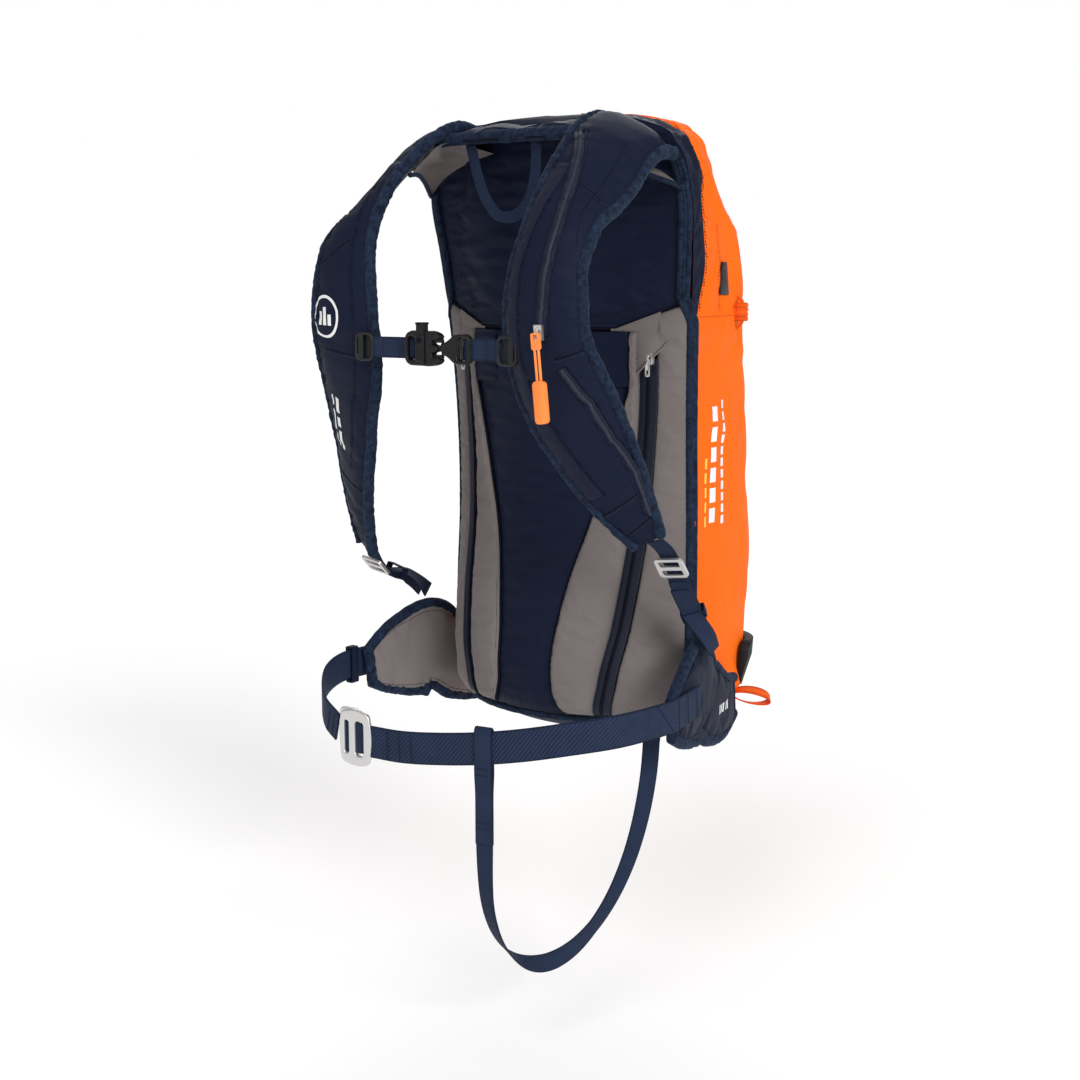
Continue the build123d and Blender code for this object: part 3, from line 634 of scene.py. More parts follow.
# ---------------------------------------------------------------- leg strap, the one free cord
LEG_START = np.array([66.0, -184.0])
LEG_END = np.array([100.0, 57.0])
# distance from the start towards the end, and height
LEG_ROUTE = ((0, -384.2), (0, -418), (4, -455), (19, -491), (47, -519), (82, -532), (118, -530),
             (151, -516), (182, -492), (207, -460), (225, -424), (237, -385), (243, -350), (244, -325.2))
# distance along the strap, and how many degrees it has turned over there
LEG_TWIST = ((0, 0), (60, 18), (120, 30), (210, 74), (260, 84), (330, 60), (400, 42), (480, 30))
LEG_TURN = math.radians(9.3)
LEG_ACROSS = np.array([math.cos(LEG_TURN), math.sin(LEG_TURN), 0])


def leg_strap():
    """The hanging strap, a flat webbing that turns over as it comes round its bend."""
    aim = (LEG_END - LEG_START) / np.linalg.norm(LEG_END - LEG_START)
    pts = [(*(LEG_START + aim * away), z) for away, z in LEG_ROUTE]
    curve = bpy.data.curves.new("leg_route", "CURVE")
    curve.dimensions = "3D"
    curve.resolution_u = 24
    line = curve.splines.new("NURBS")
    line.points.add(len(pts) - 1)
    for p, q in zip(line.points, pts):
        p.co = (*q, 1)
    line.order_u = 3
    line.use_endpoint_u = True
    route = linked(bpy.data.objects.new("leg_route", curve))
    bpy.context.view_layer.update()
    mesh = bpy.data.meshes.new_from_object(route)
    P = even([tuple(v.co) for v in mesh.vertices], 4.0)
    P = np.vstack([P, pts[-1]])
    bpy.data.objects.remove(route)
    T = unit(np.gradient(P, axis=0))
    far = run_length(P)
    angle = np.radians(np.interp(far, *zip(*LEG_TWIST)))[:, None]
    flat = unit(LEG_ACROSS - T * (T @ LEG_ACROSS)[:, None])
    W = flat * np.cos(angle) + np.cross(T, flat) * np.sin(angle)
    strip = Strip([(c, w * 9.0) for c, w in zip(P, W)], len(P))
    strap = ribbon("leg_strap_visual", strip, 1.7, "web20")
    done(strap, "pack", "navy_webbing", "leg_strap")


leg_strap()

# ---------------------------------------------------------------- the bag's form
# height, half width at the side seam, seam y, back bulge, front y, half the flat front, corner radius
BAG = np.array([
    (-322, 112, 58, 50, 186, 62, 44), (-302, 138, 52, 72, 214, 76, 50), (-262, 147, 49, 80, 226, 84, 50),
    (-200, 148, 50, 74, 231, 86, 50), (-100, 146, 53, 56, 229, 85, 50), (0, 146, 50, 48, 224, 84, 50),
    (95, 150, 43, 43, 219, 83, 50), (170, 157, 33, 26, 210, 82, 50), (225, 161, 22, 11, 180, 76, 50),
    (264, 153, 12, 6, 160, 72, 46), (290, 126, 9, 4, 142, 66, 42), (300, 90, 12, 3, 128, 58, 38),
    (306, 48, 24, 2, 110, 38, 28), (308.5, 22, 38, 1, 86, 16, 14)], float)
# height and half width of the back zips' line and of the centre panel
ZIP_LINE = ((93, 112), (60, 112), (-60, 106), (-130, 102), (-205, 96), (-293, 80))
CENTRE_EDGE = ((100, 96), (60, 97), (38, 96), (15, 91), (-30, 79), (-67, 69), (-100, 59), (-139, 48),
               (-189, 38), (-241, 33), (-285, 38), (-300, 46))
# height and y of the edge between navy and orange on the sides
NAVY_EDGE = ((110, 53), (125, 55), (150, 61), (170, 60), (190, 54), (210, 49), (226, 50), (246, 66),
             (264, 76), (278, 70), (290, 61), (300, 60), (309, 62))
BOTTOM = -297.0
PIPE_Z = 110.0
SIDE_BOW = 4.5


def curve_table(rows, z):
    """Smooth value of a table at heights z."""
    K = np.array(sorted(rows), float)
    z = np.clip(np.asarray(z, float), K[0, 0], K[-1, 0])
    return hermite(K[:, 0], K[:, 1:], z)[..., 0]


def bag_row(z):
    """Half width, seam y, back bulge, front y, half the flat front and corner radius at heights z."""
    return [curve_table(BAG[:, (0, k)].tolist(), z) for k in range(1, 7)]


def back_y(x, z):
    """The back face is an arc of a circle at each height."""
    half, seam, bulge = bag_row(z)[:3]
    x = np.minimum(np.abs(x), half)
    R = (half**2 + bulge**2) / (2 * bulge)
    return seam - bulge + R - np.sqrt(np.maximum(R**2 - x**2, 0))


def back_points(x, z, out=0.0):
    return np.stack(np.broadcast_arrays(x, back_y(x, z) - out, z), -1)


def side_x(half, flat, R, t):
    """Half width of the bag at a share t of the way along its side."""
    return half + (flat + R - half) * t + SIDE_BOW * np.sin(math.pi * t)


def side_points(y, z):
    """Points on the wearer's left side of the bag."""
    half, seam, _, front, flat, R = bag_row(z)
    x = side_x(half, flat, R, np.clip((y - seam) / (front - R - seam), 0, 1))
    return np.stack(np.broadcast_arrays(x, y, z), -1)


# ---------------------------------------------------------------- sides, front and top
NAVY_COLUMNS, SIDE_COLUMNS, CORNER_COLUMNS, FRONT_COLUMNS = 9, 34, 14, 34
BAG_LOW, BAG_HIGH = -322, 308.5


def bag_ring(z):
    """Points round the bag at one height, from the left seam over the front to the right seam."""
    inside = float(np.clip(z, BAG_LOW, BAG_HIGH))
    half, seam, _, front, flat, R = [float(v) for v in bag_row(inside)]
    edge = float(curve_table(NAVY_EDGE, max(inside, PIPE_Z)))
    edge = min(edge, seam + (front - R - seam) * 0.86)
    ys = np.r_[np.linspace(seam, edge, NAVY_COLUMNS)[:-1], np.linspace(edge, front - R, SIDE_COLUMNS)]
    side = np.stack([side_x(half, flat, R, (ys - seam) / (front - R - seam)), ys], 1)
    angle = np.linspace(0, math.pi / 2, CORNER_COLUMNS + 1)[1:]
    corner = np.stack([flat + R * np.cos(angle), front - R + R * np.sin(angle)], 1)
    xf = np.linspace(flat, -flat, FRONT_COLUMNS)[1:-1]
    face = np.stack([xf, front + 5 * (1 - (xf / flat) ** 2)], 1)
    left = np.vstack([side, corner])
    ring = np.vstack([left, face, left[::-1] * [-1, 1]])
    if z < BAG_LOW:
        middle = np.array([0, 120])
        ring = middle + (ring - middle) * (0.96 if z == BAG_LOW - 4 else 0.25)
    return np.column_stack([ring, np.full(len(ring), z)])


def bag_wrap():
    """Sides, front, top and bottom of the bag as one fabric, orange with navy beside the back."""
    z_low = np.linspace(BAG_LOW, PIPE_Z, 92)
    z_high = PIPE_Z + (306 - PIPE_Z) * np.sin(np.linspace(0, math.pi / 2, 56))[1:]
    rows = [bag_ring(z) for z in np.r_[BAG_LOW - 5, BAG_LOW - 4, z_low, z_high, 307.5, BAG_HIGH]]
    rows.append(np.array([0, 62, BAG_HIGH + 0.5]) + (rows[-1] - np.array([0, 62, BAG_HIGH])) * 0.05)
    P = np.array(rows)
    n, m = P.shape[:2]
    z = P[..., 2]
    column = np.minimum(np.arange(m), m - 1 - np.arange(m))[None, :]
    split = NAVY_COLUMNS - 1
    on_side = column < NAVY_COLUMNS + SIDE_COLUMNS
    high = z > PIPE_Z + 0.1
    wave = ripple(P, 1.8, 34, (1.0, 1.0, 2.2)) + ripple(P, 0.8, 13, (1, 1, 2.4), 5)
    wave *= np.where(high, 0.6, 1.0)
    near_pipe = np.exp(-np.abs(z - PIPE_Z) / 9.0) * on_side
    seam_fade = np.clip(column / 5.0, 0, 1) * np.clip(np.abs(column - split) / 3.0 + (~high) * 1.0, 0, 1)
    wave = (wave - 1.6 * near_pipe) * seam_fade
    lip = ~high & (z > -290) & (column < NAVY_COLUMNS + SIDE_COLUMNS + CORNER_COLUMNS)
    wave += lip * 1.6 * np.clip(column / 2.0, 0, 1)
    free = np.clip(column / 4.0, 0, 1) * np.where(high, np.clip(np.abs(column - split) / 3.0, 0, 1), 1)
    centre = np.stack([np.zeros((n, m)), np.full((n, m), 110.0), z], 2)
    P = P + unit(P - centre) * wave[..., None]
    z = P[..., 2]
    free = free * np.where(on_side, np.clip(np.abs(z - PIPE_Z) / 9.0, 0.05, 1), 1)
    free = free * np.clip((z + 318) / 24.0, 0, 1) * np.clip((306.5 - z) / 8.0, 0, 1)
    face_z = (z[:-1, :-1] + z[1:, 1:]) / 2
    face_column = np.minimum(np.arange(m - 1), m - 2 - np.arange(m - 1))[None, :]
    navy = ((face_z > PIPE_Z) & (face_column < split)) | (face_z < -318)
    obj = grid("bag_fabric", P, ["orange", "navy"], face_mats=np.where(navy, 1, 0).ravel())
    puff(obj, free, 1.2, 0.035, 5.0)
    return done(obj, "pack", "shell_fabric", "pack_shell", padded=0.75)


BAG_SKIN = skin_of(bag_wrap())


def bag_lines():
    """Piping, seams and top stitching on the bag."""
    zs = np.linspace(-300, 262, 190)
    half, seam = bag_row(zs)[:2]
    inset = 10.0 * np.clip((zs - 104) / 24, 0, 1)
    edge = half - inset
    line = np.stack([edge + 0.8, np.where(inset > 0, back_y(edge, zs) - 1.0, seam), zs], 1)
    first = line + [-0.6, -2.0, 0]
    second = line + np.stack([2.0 + inset * 0.45, 5.0 - inset * 0.45, np.zeros(190)], 1)
    pieces, threads = [], []
    for flip in (False, True):
        for pts, radii, m, bumpy in ((first, (3.6, 3.0), 10, 0.1), (second, (2.8, 2.0), 8, 0.1),
                                     ((first + second) / 2, (3.2, 2.4), 8, 0.0)):
            pieces.append(tube("p", pts, radii, "velour", m, flip, (0.75, -0.65, 0), bumpy, 6))
    done(join(pieces, "side_piping"), "pack", "bound_edge")
    zt = np.linspace(PIPE_Z + 3, 302, 120)
    zv = np.linspace(PIPE_Z + 2, 200, 40)
    seams = ((curve_table(NAVY_EDGE, zt) + 2.4, zt, "thread", 0.5),
             (np.linspace(56, 172, 60), PIPE_Z - 3.2, "orange_thread", 0.35),
             (104.0, zv, "orange_thread", 0.4), (107.0, zv, "orange_thread", 0.3))
    for flip in (False, True):
        for y, z, mat, radius in seams:
            pts, nrm = mirrored(flip, side_points(y, z), np.array(OUTWARD))
            threads.append(stitches("s", lay(pts, nrm, BAG_SKIN, 0.25), nrm, mat, 3.2, 2.2, radius))
    done(join(threads, "bag_stitching"), "pack", "bound_edge")


bag_lines()


# ---------------------------------------------------------------- back panel
def pillow(t, power=4.0):
    return np.sqrt(np.clip(1 - np.abs(2 * t - 1) ** power, 0, 1))


EDGE_DEPTH = 6.0


def panel(name, inner, outer, low, high, mat, body, slot, bulge, base, n, m, grow, cap, pressure, wave,
          flip=False, nodes=(), stretch=(1.6, 1, 0.5), fill=0.7):
    """A quilted panel on the back surface between two edges that depend on height."""
    t = np.linspace(0, 1, m)
    r = np.linspace(0, 1, n)
    top = high(outer(95.0) * t + inner(95.0) * (1 - t)) if callable(high) else np.full(m, high)
    Z = low + (top - low)[None, :] * r[:, None]
    X = inner(Z) * (1 - t)[None, :] + outer(Z) * t[None, :]
    ends = [pillow(np.clip(q * 0.5 * n / 14, 0, 0.5))[:, None] for q in (r, 1 - r)]
    rise = pillow(t)[None, :] * ends[0] * ends[1]
    P = back_points(X, Z, base + bulge * rise)
    P[..., 1] -= ripple(P, wave, 15, stretch, 3.0) * rise
    deeper = np.array([0, EDGE_DEPTH, 0])
    P = np.vstack([P[:1] + deeper, P, P[-1:] + deeper])
    P = np.concatenate([P[:, :1] + deeper, P, P[:, -1:] + deeper], 1)
    P[0, :, 2] = low
    obj = grid(name, P[:, ::-1], mat, flip=flip)
    free = np.zeros(P.shape[:2])
    across = np.clip(np.minimum(t, 1 - t) * (m - 1) / 3.0, 0, 1)
    upward = np.clip(np.minimum(r, 1 - r) * (n - 1) / 3.0, 0, 1)
    free[1:-1, 1:-1] = np.minimum(across[None, :], upward[:, None])
    puff(obj, free[:, ::-1], pressure, grow, cap)
    return done(obj, body, slot, *nodes, padded=fill)


def centre_half(z):
    return curve_table(CENTRE_EDGE, z)


def zip_half(z):
    return curve_table(ZIP_LINE, z)


def grey_top(x):
    return 95.0 + np.maximum(0.0, (np.abs(x) - 84) * 0.40)


def back_panels():
    """Centre panel, side pads, margins outside the zips, and the fabric above and behind them."""
    panel("back_centre_visual", lambda z: -centre_half(z), centre_half, BOTTOM, 93.5, "navy", "back_flap",
          "navy_panel", 3.0, 0.6, 120, 60, 0.02, 3.5, 1.0, 1.2,
          nodes=("back_centre_panel", "back_flap_panel"), stretch=(2.4, 1, 0.6), fill=0.6)
    for side, flip in SIDES:
        panel(f"back_pad_{side}_visual", lambda z: centre_half(z) + 0.6,
              lambda z: np.maximum(zip_half(z) - 8.5, centre_half(z) + 2), BOTTOM, 93.0, "grey",
              "back_flap", "back_pad", 9.0, 1.0, 150, 30, 0.02, 4.0, 2.5, 1.0, flip,
              (f"back_pad_{side}",), (2.6, 1, 0.8))
        panel(f"back_margin_{side}", lambda z: zip_half(z) + 9.0, lambda z: bag_row(z)[0] - 1.0, BOTTOM - 8,
              grey_top, "grey", "pack", "back_pad", 5.0, 0.8, 150, 22, 0.02, 3.0, 1.5, 0.7, flip)
    z = np.linspace(94.5, 306, 96)
    u = np.linspace(-1, 1, 90)
    X = bag_row(z)[0][:, None] * u[None, :]
    base = np.where(np.abs(X) > 84, grey_top(X), 94.5)
    Z = base + (306 - base) * np.linspace(0, 1, 96)[:, None]
    fade = np.clip((z - 94) / 20, 0, 1) * np.clip((305 - z) / 16, 0, 1)
    fade = (1 - np.abs(u) ** 6)[None, :] * fade[:, None]
    P = back_points(X, Z)
    creases = ripple(P, 2.6, 20, (2.2, 1, 0.55), 9) + ripple(P, 1.0, 9, (2.4, 1, 0.6), 2)
    P[..., 1] -= (3.0 + creases) * fade
    obj = grid("back_upper_fabric", P[:, ::-1], "ripstop")
    puff(obj, fade[:, ::-1], 1.0, 0.035, 4.0)
    done(obj, "pack", "navy_panel", padded=0.6)
    z = np.linspace(BAG_LOW, 95.5, 60)[:, None]
    P = back_points(bag_row(z)[0] * np.linspace(-1, 1, 40)[None, :], z, -11.0)
    P[:, (0, -1), 1] -= 11.0
    done(grid("back_lining", P[:, ::-1], "navy"), "pack", "navy_panel")


def back_trim():
    """Zips, seams and bindings of the back panel."""
    tapes, threads, pipes, gathers = [], [], [], []
    z = np.linspace(BOTTOM + 2, 66, 150)
    x = zip_half(z)
    mid = back_points(x + 0.8, z, 1.5)
    for flip in (False, True):
        tapes.append(ribbon("t", Strip([(c, (9.6, 2.0, 0)) for c in mid[::-1]], 150), 1.2, "zip", flip))
        tapes.append(tube("t", mid + TO_WEARER, (1.9, 1.3), "thread", 8, flip, TO_WEARER, 0.25, 1.4))
        for off in (-6.6, 7.6):
            line = back_points(x + off, z, 2.5)
            threads.append(stitches("s", line, TO_WEARER, "blue_thread", 3.4, 2.2, 0.42, flip))
    done(join(tapes, "back_zips"), "pack", "zip_tape", "back_zip_tapes", "flap_zip_tapes")
    z = np.linspace(BOTTOM, 92, 150)
    for flip in (False, True):
        edge, beside = back_points(centre_half(z) + 0.3, z, 2.6), back_points(centre_half(z) + 3.4, z, 6.4)
        pipes.append(tube("p", edge, (1.5, 1.3), "thread", 7, flip, TO_WEARER, 0.1, 6))
        pipes.append(stitches("s", beside, TO_WEARER, "dark", 3.2, 2.1, 0.35, flip))
    done(join(pipes, "flap_seams"), "back_flap", "navy_panel")
    x = np.linspace(84, 149, 30)
    for flip in (False, True):
        beside, edge = back_points(x, grey_top(x) + 2.2, 3.6), back_points(x, grey_top(x) + 0.2, 2.0)
        threads.append(stitches("s", beside, TO_WEARER, "thread", 3.2, 2.2, 0.4, flip))
        threads.append(tube("p", edge, 1.0, "thread", 6, flip))
    x = np.linspace(-84, 84, 70)
    threads.append(tube("p", back_points(x, 94.8, 2.6), 1.2, "thread", 6))
    threads.append(stitches("s", back_points(x, 98.0, 4.2), TO_WEARER, "blue_thread", 3.2, 2.2, 0.3))
    done(join(threads, "back_stitching"), "pack", "zip_tape")
    low = back_points(np.linspace(-146, 146, 120), BOTTOM - 6, 1.0)
    piping = tube("bottom_piping", low, (3.6, 3.4), "velour", 10, False, (0, -1.0, -0.3), 0.14, 5)
    done(piping, "pack", "bound_edge")
    z = np.linspace(38, 92, 44)
    t = np.linspace(0, 1, 24)
    folds = np.sin(z / 2.1 + 1.3 * np.sin(z / 7.0))[:, None] * (0.6 + 0.5 * np.sin(t * 5 + 1))[None, :]
    for flip in (False, True):
        P = back_points(60 + (centre_half(z)[:, None] - 60) * t[None, :], z[:, None], 5.2)
        P[..., 1] -= folds * 1.1 + pillow(t)[None, :]
        gathers.append(grid("g", P[:, ::-1], "navy", flip=flip))
    done(join(gathers, "gathered_patches"), "back_flap", "navy_panel")


def zip_garages():
    """Soft flaps that cover the top ends of the two back zips, and the grey fabric beside them."""
    flaps, corners = [], []
    for flip in (False, True):
        u, v = np.linspace(0, 1, 26), np.linspace(0, 1, 30)[:, None]
        X = 98 + 36 * u[None, :] * np.ones((30, 1))
        low = 47.0 + 38.0 * u**1.4
        Z = low[None, :] + (grey_top(X[0]) - 1 - low)[None, :] * v
        swell = np.exp(-(((X - 116) / 9.0) ** 2)) * np.exp(-(((Z - 64) / 17.0) ** 2))
        P = back_points(X, Z, 5.2)
        P[..., 1] -= 4.6 * swell + 0.8 * (v < 0.08) - 3.6 * v**3 - 2.2 * (np.abs(2 * u - 1) ** 3)[None, :]
        hem = P[:1] + [0, 1.6, 0.8]
        flaps.append(grid("g", np.vstack([hem, P])[:, ::-1], "grey", flip=flip))
        flaps.append(stitches("s", P[2] + [0, -0.4, 0], TO_WEARER, "thread", 3.0, 2.0, 0.35, flip))
    done(join(flaps, "zip_garages_visual"), "back_flap", "navy_webbing", "zip_garages")
    for flip in (False, True):
        x, v = np.linspace(79, 126, 30)[None, :], np.linspace(0, 1, 10)[:, None]
        P = back_points(x, 92.5 + (grey_top(x) + 0.6 - 92.5) * v, 3.2)
        P[..., 1] -= 1.2 * np.sin(math.pi * v)
        corners.append(grid("c", P[:, ::-1], "grey", flip=flip))
    done(join(corners, "back_corner_fabric"), "pack", "back_pad")


back_panels()
back_trim()
zip_garages()


# ---------------------------------------------------------------- straps and fins
# centre of each station and the half width across it
STRAP_RUN = [
    ((118, 2, 276), (36, 0, -17)), ((118.5, -22, 278), (37, 2, -19)), ((120, -52, 267), (37, 6, -20)),
    ((124, -86, 241), (35, 11, -18)), ((125, -114, 218), (34, 13, -12)), ((125, -137, 197), (34, 9, -4)),
    ((124.5, -151, 175), (36, 5.5, 0)), ((122, -159, 150), (38, 3, 0)), ((121.5, -161, 125), (41, 3, 0)),
    ((121.5, -160.5, 100), (42, 2.5, 0)), ((123.5, -155, 75), (43.5, 4, 3)),
    ((129, -147.5, 50), (43, 6.5, 9)), ((136.5, -138, 25), (40, 10, 12)),
    ((144, -126.5, 0), (36, 11.5, 12)), ((152.5, -114.5, -25), (31, 12.5, 12)),
    ((161, -102.5, -50), (26, 11, 11)), ((169, -88, -75), (20, 8, 9)), ((176, -73, -98), (14, 5, 6))]
FIN_RUN = [
    ((148, 144, -296), (0, 0, 24)), ((157, 104, -298), (0, 0, 36)), ((165, 64, -285), (0, 0, 48)),
    ((173, 30, -265), (0, 0, 55)), ((182, -6, -267), (0, 0, 48)), ((189, -34, -271), (0, 0, 36)),
    ((192.5, -56, -274), (0, 0, 22))]


def lowered(run):
    """The strap with its lower part drawn down, as the right-hand one hangs."""
    return [((x, y, z - 0.32 * max(0, 25 - z)), w) for (x, y, z), w in run]


def between(values, n):
    """Values spread evenly over n stations."""
    return np.interp(np.linspace(0, 1, n), np.linspace(0, 1, len(values)), values)


def edge_round(a):
    """How full a padded section is at a share of its half width."""
    return np.clip(1 - np.abs(a) ** 3.2, 0, 1) ** 0.6


class Padded:
    """A strap or fin: a soft body along a strip, with heights above and below its middle."""

    def __init__(self, run, top, bottom, n=130):
        self.S = Strip(run, n)
        self.n = n
        self.top = between(top, n)
        self.bottom = between(bottom, n)

    def height(self, i, a):
        return np.interp(i, np.arange(self.n), self.top) * edge_round(a)

    def body(self, name, mats, m, flip, cap, pressure, wave, pitch, seed, grow=0.03):
        """The padded form, mats[0] on its outer face and mats[1] on the face below."""
        phi = np.linspace(0, 2 * math.pi, m, endpoint=False) + math.pi / m
        a = np.sign(np.cos(phi)) * np.abs(np.cos(phi)) ** 0.6
        up = np.sin(phi) > 0
        to_end = np.minimum(np.arange(self.n), self.n - 1 - np.arange(self.n))[:, None]
        thin = np.sqrt(np.minimum(1.0, 0.25 + to_end / 7))
        h = np.where(up, self.top[:, None], -self.bottom[:, None]) * edge_round(a)[None, :] * thin
        S, normal = self.S, self.S.N[:, None, :]
        P = S.C[:, None, :] + S.W[:, None, :] * (S.hw[:, None] * a)[..., None] + normal * h[..., None]
        free = np.clip((0.97 - np.abs(a)) / 0.22, 0, 1)[None, :] * np.clip(to_end / 6, 0, 1)
        uneven = ripple(P, wave, pitch, (1.4, 1, 0.7), seed) * free * np.where(up, 1, -1)
        P = P + normal * uneven[..., None]
        face_mats = np.tile(np.where(up & np.roll(up, -1), 0, 1)[::-1], self.n - 1)
        obj = grid(name, P[:, ::-1], mats, wrap=True, caps=True, face_mats=face_mats, flip=flip)
        return puff(obj, free[:, ::-1], pressure, grow, cap)

    def face(self, i, a, flip=False):
        """Points and normals on the outer face at stations i and shares a of the half width."""
        normals = self.S.N[np.clip(np.round(i).astype(int), 0, self.n - 1)]
        return mirrored(flip, self.S.at(i, a, self.height(i, a)), normals)

    def index(self, z):
        """Station of the strap at height z, on the way down from its top."""
        Z = self.S.C[:, 2]
        start = int(np.argmax(Z))
        return np.interp(-np.asarray(z, float), -Z[start:], np.arange(start, self.n))

    def line(self, keys, tree, flip=False, lift=0.3, n=80):
        """Points and normals along a line on the fabric, through (z, a) pairs."""
        keys = sorted(keys, reverse=True)
        z = np.linspace(keys[0][0], keys[-1][0], n)
        a = np.interp(-z, [-k[0] for k in keys], [k[1] for k in keys])
        pts, nrm = self.face(self.index(z), a, flip)
        return lay(pts, nrm, tree, lift), nrm

    def cross_seams(self, rows, tree, flip=False):
        """Sewn folds across the strap: start height, two edges, and rise."""
        threads = []
        for z, a0, a1, rise in rows:
            share = np.linspace(0, 1, 30)
            pts, nrm = self.face(self.index(z + rise * share), a0 + (a1 - a0) * share, flip)
            threads.append(tube("s", lay(pts, nrm, tree), (0.8, 0.6), "thread", 6, False, nrm))
            below = lay(pts + [0, 0, -2.6], nrm, tree, 0.2)
            threads.append(stitches("s", below, nrm, "blue_thread", 3.0, 2.0, 0.3))
        return threads

    def print_rings(self, name, z0, a0, rings, mat, tree, flip):
        """A thin printed shape: closed outlines in (across, along) millimetres, laid on the fabric."""
        i0 = float(self.index(z0))
        step = np.linalg.norm(self.S.C[int(i0) + 1] - self.S.C[int(i0)])
        P = []
        for ring in rings:
            i = i0 - ring[:, 1] / step
            pts, nrm = self.face(i, a0 + ring[:, 0] / np.interp(i, np.arange(self.n), self.S.hw), flip)
            P.append(lay(pts, nrm, tree, 0.5))
        return grid(name, np.array(P), mat, wrap=True)

    def bar(self, z0, a0, x, wide, low, high, points, tree, flip):
        """A printed rectangle."""
        box = [(x - wide, low), (x + wide, low), (x + wide, high), (x - wide, high)]
        box = np.vstack([np.linspace(p, q, points, endpoint=False) for p, q in zip(box, box[1:] + box[:1])])
        middle = box.mean(0)
        rings = [middle + (box - middle) * k for k in np.linspace(1, 0.02, 5)]
        return self.print_rings("bar", z0, a0, rings, "white", tree, flip)

    def edge_tube(self, side, radii, flip=False, inset=2.2, bumpy=0.16, pitch=4.5, h=0.0):
        """Velour binding along one edge."""
        i = np.arange(0, self.n, 0.5)
        hw = np.interp(i, np.arange(self.n), self.S.hw)
        pts = self.S.at(i, side * (1 - inset / hw), np.full_like(i, h))
        return tube("edge", pts, radii, "velour", 12, flip, self.face(i, i * 0)[1], bumpy, pitch)


STRAP_BACK = (5.5, 5.5, 5.5, 6, 6, 6, 6, 5.5, 5, 4)
LEFT = Padded(STRAP_RUN, (13, 14, 14.5, 15.5, 16, 16.5, 16, 15, 12, 7), STRAP_BACK)
FAR = Padded(lowered(STRAP_RUN), (9, 9, 9, 9.5, 9.5, 10, 10, 9, 8, 5), STRAP_BACK)
ZIP_UPPER = [(262, -0.74), (248, -0.56), (230, -0.36), (214, -0.18), (195, 0.08), (179, 0.2), (150, 0.23),
             (126, 0.18), (97, 0.14)]
ZIP_LOWER = [(66, 0.38), (45, 0.46), (29, 0.54), (-5, 0.62), (-39, 0.78), (-77, 0.74)]
POCKET_SEAM = [(226, -0.42), (200, -0.47), (150, -0.5), (100, -0.5), (60, -0.5), (20, -0.45), (-20, -0.4),
               (-45, -0.3)]
FAR_SEAM = [(250, -0.5), (200, -0.5), (150, -0.52), (100, -0.52), (50, -0.5), (0, -0.45), (-40, -0.3)]


def moved(keys, across):
    """A line on a strap, shifted across it by a share of its half width."""
    return [(z, a + across) for z, a in keys]


def shoulder(pad, name, side, flip, seed, nodes, radii, h):
    """The padded body of a shoulder strap with its bindings; gives the surface that trim is laid on."""
    body = pad.body(f"{name}_visual", ["navy", "grey"], 44, flip, 3.0, 1.0, 0.8, 14, seed)
    done(body, "pack", "strap_foam", *nodes, padded=0.6)
    bind = [pad.edge_tube(edge, radii, flip, h=h) for edge in (-1, 1)]
    done(join(bind, f"strap_binding_{side}"), "pack", "bound_edge")
    return skin_of(body)


def shoulder_left():
    """The strap with the release handle's pocket: two zips, a stitched side panel and seams."""
    tree = shoulder(LEFT, "shoulder_strap_left", "left", False, 1.0,
                    ("shoulder_strap_left", "strap_pocket"), (5.2, 7.0), 1.5)
    zips, threads = [], []
    for keys, half, seam, lips in ((ZIP_UPPER, 5.2, 6.2, True), (ZIP_LOWER, 4.2, 5.2, False)):
        pts, nrm = LEFT.line(keys, tree, lift=0.5, n=110)
        across = unit(np.cross(nrm, np.gradient(pts, axis=0)))
        zips.append(ribbon("z", Strip([(c, w * half) for c, w in zip(pts, across)], 110), 1.0, "zip"))
        zips.append(tube("z", pts + nrm * 0.8, (2.0, 1.3), "teeth", 8, False, nrm, 0.3, 1.7))
        for off in (-seam, seam):
            beside = lay(pts + across * off, nrm, tree, 0.2)
            threads.append(stitches("s", beside, nrm, "thread", 3.0, 2.0, 0.33))
            if lips:
                lip = lay(pts + across * off * 0.86, nrm, tree, 0.5)
                zips.append(tube("z", lip, (1.3, 1.0), "navy", 7, False, nrm, 0.15, 5))
    done(join(zips, "strap_zips"), "pack", "zip_tape", "strap_zip_chain")
    inner_edge = [(262, 0.36), (240, 0.38), (215, 0.45), (190, 0.62), (170, 0.8)]
    for keys in (POCKET_SEAM, inner_edge, moved(POCKET_SEAM, 0.05)):
        pts, nrm = LEFT.line(keys, tree, lift=0.15)
        threads.append(stitches("s", pts, nrm, "thread", 3.1, 2.1, 0.38))
    threads += LEFT.cross_seams(((222, -0.9, 0.75, -10), (76, 0.3, 0.95, 3), (-60, -0.8, 0.8, 6),
                                 (-84, -0.7, 0.7, 6)), tree)
    done(join(threads, "strap_stitching_left"), "pack", "strap_foam")
    rows = []
    edge_z, edge_a = zip(*reversed(moved(POCKET_SEAM[:-1], -0.02) + [(-45, -0.34)]))
    for z in np.linspace(224, -44, 90):
        a = np.linspace(-0.93, np.interp(z, edge_z, edge_a), 10)
        pts, nrm = LEFT.face(np.full(10, LEFT.index(z)), a)
        rows.append(lay(pts, nrm, tree) + nrm * (0.9 * pillow(np.linspace(0, 1, 10), 6))[:, None])
    done(grid("strap_side_panel", np.array(rows)[:, ::-1], "side"), "pack", "strap_foam")


CIRCLE_ANGLE = np.linspace(0, 2 * math.pi, 48, endpoint=False)


